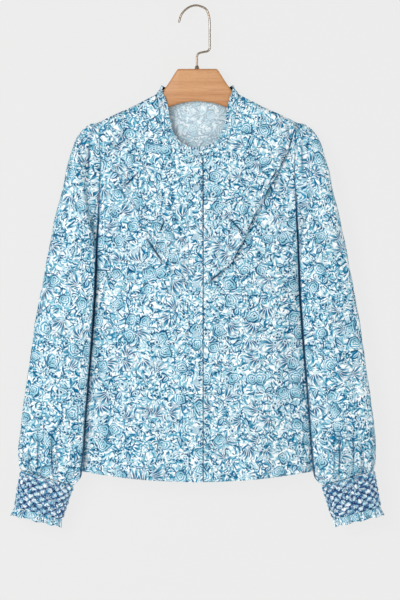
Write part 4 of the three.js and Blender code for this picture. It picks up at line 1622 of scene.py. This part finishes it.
@dataclass
class Ruffle:
    """One of the two gathered flounces that make the V on the chest.

    Attributes:
        form: The body that it lies on.
        finishes: The materials.
        side: Its side of the wearer.
        stand: How far its folds stand off the front.
        creases: Its folds.
        seed: Start of its random draws and waves.
        painted_edge_shadow: How dark the painted shadow line along its free edge is.
        folds: Soft folds along it.
        strip_lean: Slant of the print on it, in radians.
        fullness: Flat length over shown length.
        placket_edge: Half width of the placket.
        columns: Steps along the seam.
        rows: Steps from the seam to the free edge.
    """

    form: BodyForm
    finishes: Finishes
    side: Side
    stand: float
    creases: tuple[Crease, ...]
    seed: int
    painted_edge_shadow: float
    folds: int = 11
    strip_lean: float = 0.95
    fullness: float = 1.2
    placket_edge: float = 12.0
    columns: int = 250
    rows: int = 62

    def build(self) -> None:
        """Builds the flounce and the stitching of its edge."""
        side, word = self.side.value, self.side.name.lower()
        rng = np.random.default_rng(self.seed)
        t = np.linspace(0, 1, self.columns + 1)
        seam, edge = SmoothLine(RUFFLE_SEAM), SmoothLine(RUFFLE_EDGE)
        start, end = seam.at(t), edge.at(t)
        w = np.linspace(0, 1, self.rows)
        tt, ww = np.meshgrid(t, w, indexing="ij")
        pace = tt * self.folds + 0.35 * np.sin(TURN * tt * 2.3 + self.seed)
        pace = pace + 0.16 * np.sin(TURN * tt * 5.1 + 2.0 * self.seed)
        wave = 0.5 - 0.5 * np.cos(TURN * pace)
        size = 0.55 + 0.45 * np.sin(TURN * (tt * 1.7 + rng.uniform())) ** 2
        fade = smooth(tt / 0.08) * smooth((1 - tt) / 0.06)
        sway = 1.6 * ww * np.sin(TURN * pace) * fade * size
        way = np.stack([np.gradient(end[:, 0]), np.gradient(end[:, 1])], -1)
        way /= np.linalg.norm(way, axis=1, keepdims=True)
        laid = start[:, None] + (end - start)[:, None] * ww[..., None] + way[:, None] * sway[..., None]
        x, z = laid[..., 0], laid[..., 1]
        inner_edge = self.placket_edge + side * CENTRE_X + 0.4
        seam_end = RUFFLE_SEAM[-1][0]
        x = x + (inner_edge - seam_end) * (1 - smooth((x - seam_end) / 26))
        gathers = 0.5 * np.sin(TURN * (tt * 46 + 0.5 * np.sin(TURN * tt * 7)))
        gathers = gathers * smooth(ww / 0.05) * np.exp(-ww / 0.3)
        lift = LAY_LIFT + ww * (1.4 + self.stand * wave * fade * size)
        lift = lift + 0.5 * self.stand * smooth((ww - 0.55) / 0.45) * fade + gathers
        # Painted shadow line along the free edge, and painted shade in the creases
        deep = self.painted_edge_shadow * smooth((ww - 0.955) / 0.02)
        deep = deep * (0.55 + 0.45 * np.sin(tt * 31 + self.seed)) * fade
        for crease in self.creases:
            fold, painted_shade = crease.form(side * x + HANG_SHIFT, z)
            lift = lift + fold * smooth(ww / 0.15)
            deep = np.maximum(deep, painted_shade)
        lift = lift + 0.25 * smooth((ww - 0.94) / 0.02)
        caught = smooth((inner_edge + 12 - x) / 12)
        lift = np.maximum(lift * (1 - 0.75 * caught), 0.9 - 0.35 * caught)
        points = self.form.point(side * x, z, Face.FRONT, lift)
        cosine, sine = math.cos(self.strip_lean), math.sin(self.strip_lean)
        along, across = x * cosine - z * sine, x * sine + z * cosine
        flat = np.stack([along * self.fullness + 950 + 400 * side, across], -1)
        piece = Sheet(f"flounce_{word}", points, flat, OUT_OF_FRONT, deep=deep).build(self.finishes.printed)
        register(piece, Slot.PRINT, f"ruffle_{word}")
        line = points[2:-2, int(self.rows * 0.93)] + (0, -0.02, 0)
        sew(f"flounce_stitching_{word}", [stitches(line, OUT_OF_FRONT)], self.finishes.thread, Slot.PRINT)


def ring_points(ring: Array, angle: Array, side: int, grow: Array) -> Array:
    """Points of rings across a sleeve or cuff.

    Args:
        ring: Rows of outer x and z, inner x and z, middle y and half depth.
        angle: 0 at the outer edge, a quarter turn at the front and a half turn at the inner edge.
        side: 1 or -1.
        grow: How far each point stands off the ring, columns by rows.

    Returns:
        Points, columns by rows by 3.
    """
    ox, oz, ix, iz, my, depth = (ring[:, i][None] for i in range(6))
    hx, hz = (ox - ix) / 2, (oz - iz) / 2
    half = np.hypot(hx, hz)
    along = (half + grow) * np.cos(angle)
    sine = np.sin(angle)
    y = my - (depth + grow) * np.sign(sine) * np.abs(sine) ** 0.82
    x = (ox + ix) / 2 + hx / half * along
    z = (oz + iz) / 2 + hz / half * along
    return np.stack([side * x, y, z], -1)


def sleeve_creases(s: int) -> tuple[tuple[Crease, ...], tuple[Crease, ...]]:
    """The folds of one sleeve.

    Args:
        s: 1 for the left sleeve of the wearer, -1 for the right.

    Returns:
        The folds of its front and of its back.
    """
    # The fifth number of a crease, where given, is the painted shade in its bottom
    front = (
        Crease(((s * 170, -202), (s * 171, -258), (s * 173, -286)), 3.2, 2.4, -0.5 * s, 0.6),
        Crease(((s * 162, -219), (s * 162.5, -240)), 2.8, 1.4, -0.5 * s, 0.5),
        Crease(((s * 196, -330), (s * 214, -420), (s * 222, -500)), 9, 1.6, 0.6 * s),
        Crease(((s * 186, -430), (s * 196, -540), (s * 206, -640)), 9, 1.6, -0.6 * s),
        Crease(((s * 240, -520), (s * 252, -610), (s * 262, -690)), 8, 1.5, 0.6 * s),
        Crease(((s * 178, -392), (s * 200, -404), (s * 222, -398)), 6, 1.3),
        Crease(((s * 266, -700), (s * 268, -735), (s * 267, -762)), 3.2, 2.0, 0.6, 0.55),
        Crease(((s * 252, -672), (s * 252, -720), (s * 251, -764)), 3.2, 2.2, -0.6, 0.62),
        Crease(((s * 229, -676), (s * 230, -724), (s * 227, -766)), 3.4, 2.4, 0.6, 0.72),
        Crease(((s * 221, -690), (s * 221, -736), (s * 219, -768)), 2.8, 1.8, 0.6, 0.55),
        Crease(((s * 239, -640), (s * 243, -690), (s * 243, -730)), 4.0, 1.6, 0.6, 0.25),
    )
    back = (
        Crease(((s * 200, -300), (s * 210, -420), (s * 226, -520)), 9, 1.6, 0.6 * s),
        Crease(((s * 190, -470), (s * 200, -580), (s * 214, -690)), 9, 1.7, -0.6 * s),
        Crease(((s * 242, -480), (s * 250, -600), (s * 256, -700)), 8, 1.5, 0.6 * s),
        Crease(((s * 172, -216), (s * 174, -270)), 5, 1.8, -0.5 * s),
        Crease(((s * 260, -690), (s * 262, -730), (s * 260, -762)), 3.2, 2.0, 0.6, 0.6),
        Crease(((s * 236, -670), (s * 238, -720), (s * 236, -764)), 3.2, 2.2, -0.6, 0.7),
    )
    return front, back


@dataclass
class Sleeve:
    """One full sleeve, gathered at its head and into its cuff."""

    form: BodyForm
    finishes: Finishes
    side: Side
    front_creases: tuple[Crease, ...]
    back_creases: tuple[Crease, ...]
    seed: int
    columns: int = 168
    rows: int = 190
    gathers: int = 26
    gather_depth: float = 2.3
    axis: tuple[float, float] = (0.2, -0.98)
    armhole_share: float = 0.283

    def armhole(self, angle: Array) -> Array:
        """Points of the armhole seam.

        Args:
            angle: Angles round it.

        Returns:
            One point for each angle.
        """
        side = self.side.value
        edges = {}
        for face in Face:
            v = np.linspace(0, self.armhole_share, 120)
            x, z = self.form.place(face, 0.0, np.ones(v.shape), v)
            edges[face] = SmoothLine(np.stack([side * x, face.value * self.form.depth(x, z, face), z], -1), 1)
        turn = (angle / TURN) % 1
        front = edges[Face.FRONT].at(np.clip(turn * 2, 0, 1))
        back = edges[Face.BACK].at(np.clip((1 - turn) * 2, 0, 1))
        return np.where((turn <= 0.5)[:, None], front, back) + (side * 0.45, 0, 0)

    def build(self) -> None:
        """Builds the sleeve."""
        side = self.side.value
        rings = np.array(SLEEVE_RINGS, float)
        angle = np.linspace(np.pi, 3 * np.pi, self.columns, endpoint=False)
        down = np.concatenate([np.linspace(0, 1, 9)[1:], 1 + np.linspace(0, 15, self.rows)[1:]])
        place = np.maximum(down - 1, 0)
        ring = eased_rows(rings, place)
        aa, dd = np.meshgrid(angle, down, indexing="ij")
        bottom = smooth((dd - 11.2) / 4.2)
        pace = aa * self.gathers + 1.3 * np.sin(aa * 3 + self.seed) + 0.6 * np.sin(aa * 7 + 2 * self.seed)
        uneven = 0.55 + 0.45 * np.sin(aa * 5 + self.seed * 1.7)
        long = 0.5 + 0.5 * np.sin(aa * 9 + self.seed)
        gather = np.sin(pace) * self.gather_depth * uneven
        gather = gather * smooth((dd - 12.2 - 1.8 * long) / (3.4 - 1.5 * long)) * np.where(dd > 15.4, 0.75, 1)
        swell = 1.4 * np.cos(aa * 6 + self.seed) * bottom
        head = np.exp(-((dd / 2.2) ** 2)) * (1 - smooth((0.1 - np.cos(aa)) / 0.6))
        pleats = 1.2 * np.sin(aa * 22 + 1.7 * np.sin(aa * 4)) * head * smooth(dd / 0.5)
        body = ring_points(ring, aa, side, gather + swell + pleats)
        seam = self.armhole(angle)
        t = np.clip(dd, 0, 1)[..., None]
        first = ring_points(rings[:1], angle[:, None], side, np.zeros((len(angle), 1)))
        first = first + (body - ring_points(ring, aa, side, np.zeros(aa.shape)))
        rise = smooth(t) * 0.35 + t * 0.65
        points = np.where(t < 1, seam[:, None] + (first - seam[:, None]) * rise, body)
        points = np.concatenate([seam[:, None], points], axis=1)
        aa = np.concatenate([aa[:, :1], aa], axis=1)
        dd = np.concatenate([0 * dd[:, :1], dd], axis=1)
        normals = grid_normals(points, True)
        outside = points - points.mean(axis=0, keepdims=True)
        if (normals * outside).sum() < 0:
            normals = -normals
        crumple_x = np.where(np.sin(aa) > 0, points[..., 0], points[..., 0] + 300)
        extra = 0.8 * Crumple(40 + self.seed, 52.0).height(crumple_x, points[..., 2])
        # Painted shade in the creases and, below the armpit, in the gap beside the body
        deep = np.zeros(aa.shape)
        for group, sign in ((self.front_creases, 1), (self.back_creases, -1)):
            for crease in group:
                fold, painted_shade = crease.form(points[..., 0] + HANG_SHIFT, points[..., 2])
                on_face = smooth(sign * np.sin(aa) / 0.35)
                extra = extra + fold * on_face
                deep = np.maximum(deep, painted_shade * on_face)
        extra = extra * smooth(dd / 0.7) * smooth((16.1 - dd) / 0.5)
        points = points + normals * extra[..., None]
        z = points[..., 2]
        gap = self.form.painted_gap_shade(points[..., 0], z, 2.0) * smooth((-385 - z) / 30)
        deep = np.maximum(deep, np.where(np.cos(aa) < 0, gap, 0))
        word = self.side.name.lower()
        sheet = Sheet(f"cloth_sleeve_{word}", points, self.unrolled(points), outside, loop=True, deep=deep)
        piece = sheet.build(self.finishes.printed)
        register(piece, Slot.PRINT, f"sleeve_{word}")

    def unrolled(self, points: Array) -> Array:
        """Places of the sleeve on the flat cloth, cut open where its columns begin.

        Args:
            points: The sleeve's points, columns by rows by 3.

        Returns:
            Flat places, with one column more.
        """
        side = self.side.value
        closed = np.concatenate([points, points[:1]])
        axis_x, axis_z = side * self.axis[0], self.axis[1]
        tall = closed[..., 0] * axis_x + closed[..., 2] * axis_z
        wide = closed[..., 0] * axis_z - closed[..., 2] * axis_x
        step = np.hypot(np.diff(wide, axis=0), np.diff(closed[..., 1], axis=0))
        round_it = np.concatenate([np.zeros((1, points.shape[1])), np.cumsum(step, axis=0)])
        outer_edge = self.columns // 2
        across = wide[outer_edge] * side + (round_it - round_it[outer_edge]) + 1500 + 700 * side
        return np.stack([across, -tall], -1)


@dataclass
class Cuff:
    """A honeycomb-smocked cuff with a wavy free edge."""

    finishes: Finishes
    side: Side
    seed: int
    puffs: int = 14
    puff_rows: float = 5.0
    puff_height: float = 3.0
    columns_each: int = 17
    rows: int = 86
    length: float = 57.7
    frill_length: float = 13.0
    frill_waves: int = 17
    frill_depth: float = 2.8

    def ring(self, t: Array) -> Array:
        """Rings between the top and the end of the cuff, and past it."""
        top, end = np.array(CUFF_TOP, float), np.array(CUFF_END, float)
        return top + (end - top) * np.asarray(t, float)[:, None]

    def build(self) -> None:
        """Builds the smocked band, its thread and its free edge."""
        side, word = self.side.value, self.side.name.lower()
        count = self.puffs * self.columns_each
        angle = np.linspace(0, TURN, count, endpoint=False)
        t = np.linspace(0, 1, self.rows)
        aa, tt = np.meshgrid(angle, t, indexing="ij")
        turns = aa / TURN * self.puffs
        rows = tt * self.puff_rows
        p, q = turns + rows, turns - rows
        bowl = np.abs(np.sin(np.pi * p) * np.sin(np.pi * q)) ** 0.5
        drawn = Crumple(70 + self.seed, 7.5)
        arc = aa * 32
        height = self.puff_height * bowl * (1 + 0.22 * drawn.height(arc, tt * 57))
        height = height + 0.5 * drawn.height(tt * 57 + 90, arc) * bowl
        ends = smooth(tt / 0.05) * smooth((1 - tt) / 0.05)
        points = ring_points(self.ring(t), aa, side, height * (0.35 + 0.65 * ends) - 0.6)
        outside = points - points.mean(axis=0, keepdims=True)
        a = np.concatenate([turns, np.full((1, self.rows), float(self.puffs))])
        b = np.concatenate([rows, rows[:1]])
        smock = np.stack([a, b], -1)
        flat = np.stack([a * 19.0 + 3000 + 500 * side, -b * 12.0], -1)
        piece = Sheet(f"smocked_cuff_{word}", points, flat, outside, loop=True,
                      smock=smock).build(self.finishes.smocked)
        register(piece, Slot.SMOCKED, f"cuff_{word}")
        self.threads(word)
        self.frill(word)

    def threads(self, word: str) -> None:
        """Sews the drawn points of the smocking with short dark stitches.

        Args:
            word: The side's name.
        """
        side = self.side.value
        parts = []
        for row in range(1, int(self.puff_rows * 2)):
            t = row / (self.puff_rows * 2)
            for i in range(self.puffs):
                a = i + (0.5 if row % 2 else 0.0)
                spread = np.linspace(-0.13, 0.13, 5) + a
                angle = (spread * TURN / self.puffs)[:, None]
                lift = (0.5 + 0.4 * np.cos(np.linspace(-1.4, 1.4, 5)))[:, None]
                line = ring_points(self.ring(np.array([t])), angle, side, lift)[:, 0]
                parts.append(tube_mesh(line, 0.42, 5))
        sew(f"smocking_thread_{word}", parts, self.finishes.navy, Slot.SMOCKED)

    def frill(self, word: str) -> None:
        """Builds the free edge below the smocking.

        Args:
            word: The side's name.
        """
        side = self.side.value
        angle = np.linspace(0, TURN, self.frill_waves * 22, endpoint=False)
        w = np.linspace(0, 1, 15)
        ring = self.ring(1.004 + self.frill_length / self.length * w)
        ring[:, 0] += 2.5 * w
        ring[:, 2] -= 1.5 * w
        ring[:, 5] += 2.5 * w
        aa, ww = np.meshgrid(angle, w, indexing="ij")
        pace = aa * self.frill_waves + 0.7 * np.sin(aa * 3 + self.seed) + 0.5 * np.sin(aa * 5 + 2 * self.seed)
        wave = np.sin(pace) * (0.75 + 0.25 * np.sin(aa * 4 + self.seed))
        grow = self.frill_depth * wave * ww**0.8 + 0.7 * np.cos(aa * 2 * self.puffs) * (1 - ww) ** 2
        points = ring_points(ring, aa, side, grow)
        down = np.array([0.18 * side, 0.0, -0.98])
        points = points + down * (1.1 * np.sin(pace * 0.5 + self.seed) * ww)[..., None]
        outside = points - points.mean(axis=0, keepdims=True)
        a = np.concatenate([aa, np.full((1, len(w)), TURN)])
        flat = np.stack(np.broadcast_arrays(a * 58 + 4000 + 500 * side, -w[None] * self.frill_length), -1)
        piece = Sheet(f"wrist_frill_{word}", points, flat, outside, loop=True).build(self.finishes.printed)
        register(piece, Slot.PRINT, f"cuff_frill_{word}")


# ---- the hanger

@dataclass
class Hanger:
    """The wooden hanger with its wire hook."""

    finishes: Finishes
    thickness: float = 14.0
    rounding: float = 3.6
    under_seam: float = 4.3
    wire_radius: float = 1.7
    ferrule_radius: float = 3.4

    def edges(self) -> tuple[Array, Array]:
        """The edges of one half of the wood, from the middle to the tip of the arm.

        Returns:
            Points of the upper and of the lower edge.
        """
        arm_x = (66.0, 77.0, 88.0, 99.0, 110.0, 123.0, 136.0, 149.0)
        arm = [(x, float(read_table(SHOULDER_LINE, np.array(x))) - self.under_seam) for x in arm_x]
        upper = [*PLATE_EDGE, *arm, (152.0, -186.2), WOOD_UNDERSIDE[-1]]
        share = np.linspace(0, 1, 170)
        flat_top = np.stack([np.linspace(0, 28.5, 24), np.full(24, -100.5)], -1)
        line = np.concatenate([flat_top, SmoothLine(upper).at(share)])
        return SmoothLine(line, 1).at(share), SmoothLine(WOOD_UNDERSIDE).at(share)

    def wood(self) -> None:
        """Builds the rounded wooden body."""
        upper, lower = self.edges()
        half = np.concatenate([upper, lower[:-1][::-1]])
        outline = np.concatenate([half, half[1:-1][::-1] * (-1, 1)])
        along = np.roll(outline, -1, 0) - np.roll(outline, 1, 0)
        outward = np.stack([-along[:, 1], along[:, 0]], -1)
        outward /= np.linalg.norm(outward, axis=1, keepdims=True)
        count, span = len(outline), len(upper)
        r, half_t = self.rounding, self.thickness / 2
        steps = [(r * (1 - math.sin(a)), -half_t + r * (1 - math.cos(a)))
                 for a in np.linspace(0, np.pi / 2, 7)]
        steps += [(o, -y) for o, y in reversed(steps)]
        rings = []
        for inset, y in steps:
            line = outline - outward * inset
            rings.append(np.stack([line[:, 0], np.full(count, y), line[:, 1]], -1))
        faces = []
        for k in range(len(rings) - 1):
            for i in range(count):
                j = (i + 1) % count
                faces.append([k * count + i, (k + 1) * count + i, (k + 1) * count + j, k * count + j])
        tip = span - 1
        for start, flip in ((0, False), ((len(rings) - 1) * count, True)):
            for i in range(tip):
                right = [i, i + 1] + ([2 * tip - i - 1] if i + 1 < tip else []) + [2 * tip - i]
                left = [(count - k) % count for k in right][::-1]
                for face in (right, left):
                    ids = [start + k for k in face]
                    faces.append(ids[::-1] if flip else ids)
        piece = new_object("hanger_body", np.vstack(rings), faces, [self.finishes.wood])
        if sum(p.center.dot(p.normal) * p.area for p in piece.data.polygons) < 0:
            piece.data.flip_normals()
        register(piece, Slot.WOOD, "hanger_wood")

    def hook(self) -> None:
        """Builds the bent wire and the ferrule that it stands in."""
        route = SmoothLine([(x, 0.0, z - 0.4) for x, z in HOOK_ROUTE])
        made, faces = round_ended(route.at(np.linspace(0, 1, 190)), self.wire_radius, 20)
        register(new_object("hook_wire", made, faces, [self.finishes.metal]), Slot.METAL, "hanger_hook")
        bore, outer = self.wire_radius, self.ferrule_radius
        radii = np.array([bore + 0.3, outer, outer + 0.5, outer + 0.5, outer, outer, outer - 0.3,
                          outer - 0.9, bore + 0.5, bore + 0.3])
        tall = np.array([0.0, 0.0, 0.25, 0.75, 1.0, 3.0, 3.9, 4.6, 4.9, 4.7])
        turn = np.linspace(0, TURN, 40, endpoint=False)
        tt, rr = np.meshgrid(turn, radii, indexing="ij")
        points = np.stack([-0.8 + rr * np.cos(tt), rr * np.sin(tt),
                           -100.2 + np.repeat(tall[None], len(turn), 0)], -1)
        _, ids = grid_faces(*points.shape[:2], loop=True, ring=True)
        piece = new_object("hook_ferrule", points.reshape(-1, 3), ids.tolist(), [self.finishes.metal])
        register(piece, Slot.METAL, "hanger_ferrule")

    def build(self) -> None:
        """Builds the hanger."""
        self.wood()
        self.hook()


# ---- the studio

@dataclass
class Studio:
    """Camera, lights, wall and floor."""

    lens: float = 200.0
    sensor: float = 36.0
    distance: float = 5.34
    aim: tuple[float, float, float] = (0.007, -0.02, -0.472)
    wall_y: float = 0.03
    floor_z: float = -1.25
    wall_glow: float = 0.785
    world_strength: float = 0.37

    def camera(self) -> None:
        """Places the camera straight in front."""
        data = bpy.data.cameras.new("camera")
        data.lens, data.sensor_width = self.lens, self.sensor
        data.clip_end = 60.0
        camera = bpy.data.objects.new("camera", data)
        camera.location = (self.aim[0], self.aim[1] - self.distance, self.aim[2])
        camera.rotation_euler = (math.pi / 2, 0, 0)
        bpy.context.scene.collection.objects.link(camera)
        bpy.context.scene.camera = camera

    def light(self, name: str, place: Sequence[float], size: float, power: float,
              tint: Sequence[float]) -> None:
        """Adds one soft square light that looks at the blouse.

        Args:
            name: Name of the light.
            place: Where it stands.
            size: Its side in metres.
            power: Its power in watts.
            tint: Its colour.
        """
        data = bpy.data.lights.new(name, "AREA")
        data.size, data.energy, data.color = size, power, tint
        lamp = bpy.data.objects.new(name, data)
        lamp.location = place
        way = Vector((0.0, 0.0, -0.45)) - Vector(place)
        lamp.rotation_euler = way.to_track_quat("-Z", "Y").to_euler()
        bpy.context.scene.collection.objects.link(lamp)

    def plane(self, name: str, corners: Sequence[Sequence[float]], material: Material) -> None:
        """Adds a plain stage plane.

        Args:
            name: Its name.
            corners: Its four corners in metres.
            material: Its material.
        """
        mesh = bpy.data.meshes.new(name)
        mesh.from_pydata([tuple(c) for c in corners], [], [(0, 1, 2, 3)])
        mesh.materials.append(material)
        plane = bpy.data.objects.new(name, mesh)
        bpy.context.scene.collection.objects.link(plane)

    def wall_material(self) -> Material:
        """A pale wall that shows only from its front, so that it never hides the back of the blouse.

        Returns:
            The material.
        """
        s = Shader("pale_wall")
        behind = s.node("ShaderNodeNewGeometry", {}, {}, "Backfacing")
        shade = s.node("ShaderNodeLightPath", {}, {}, "Is Shadow Ray")
        clear = s.node("ShaderNodeBsdfTransparent", {}, {})
        grain = s.noise(s.object_place(), 1.3, 1.0, "3D")
        colour = s.blend((0.046, 0.046, 0.045, 1.0), (0.056, 0.056, 0.055, 1.0), grain)
        glow = {"Emission Color": (1.0, 1.0, 0.998, 1.0), "Emission Strength": self.wall_glow}
        solid = s.node("ShaderNodeBsdfPrincipled", {},
                       {"Base Color": colour, "Roughness": 0.9, "Specular IOR Level": 0.1, **glow})
        mixed = s.node("ShaderNodeMixShader", {}, {0: behind.math("MAXIMUM", shade), 1: solid, 2: clear})
        out = s.tree.nodes.new("ShaderNodeOutputMaterial")
        s.tree.links.new(mixed.socket, out.inputs["Surface"])
        return s.material

    def floor_material(self) -> Material:
        """A pale matt floor.

        Returns:
            The material.
        """
        s = Shader("pale_floor")
        grain = s.noise(s.object_place(), 3.0, 2.0, "3D")
        return s.surface(s.blend((0.78, 0.78, 0.78, 1.0), (0.84, 0.84, 0.84, 1.0), grain), 0.9,
                         {"Specular IOR Level": 0.1})

    def build(self) -> None:
        """Sets up the studio."""
        scene = bpy.context.scene
        scene.view_settings.view_transform = "Standard"
        world = bpy.data.worlds.new("studio")
        world.use_nodes = True
        world.node_tree.nodes["Background"].inputs[0].default_value = (1.0, 1.0, 1.0, 1.0)
        world.node_tree.nodes["Background"].inputs[1].default_value = self.world_strength
        scene.world = world
        self.camera()
        self.light("key", (-1.0, -2.6, 0.0), size=1.1, power=45.5, tint=(1.0, 0.995, 0.985))
        self.light("fill", (1.6, -2.8, -0.5), size=1.8, power=12.0, tint=(0.99, 0.995, 1.0))
        self.light("back", (0.9, 2.4, 0.6), size=1.4, power=16.0, tint=(1.0, 1.0, 1.0))
        y, low = self.wall_y, self.floor_z
        self.plane("wall", ((-3, y, low), (3, y, low), (3, y, 2.5), (-3, y, 2.5)), self.wall_material())
        self.plane("floor", ((-3, -3.5, low), (3, -3.5, low), (3, 3, low), (-3, 3, low)),
                   self.floor_material())


def main() -> None:
    """Builds the blouse, its hanger and the studio in order."""
    logging.basicConfig(level=logging.INFO, format="%(name)s: %(message)s")
    Studio().build()
    finishes = Finishes.made()
    form = BodyForm()
    Hanger(finishes).build()
    Panels(form, finishes).build()
    Placket(form, finishes).build()
    Collar(form, finishes).build()
    Ruffle(form, finishes, Side.RIGHT, stand=3.2, creases=RIGHT_FLOUNCE_CREASES, seed=2,
           painted_edge_shadow=0.45).build()
    Ruffle(form, finishes, Side.LEFT, stand=5.6, creases=LEFT_FLOUNCE_CREASES, seed=5, painted_edge_shadow=0.8).build()
    for side, seed in ((Side.RIGHT, 1), (Side.LEFT, 2)):
        Sleeve(form, finishes, side, *sleeve_creases(side.value), seed).build()
        Cuff(finishes, side, seed).build()


if __name__ == "__main__":
    main()
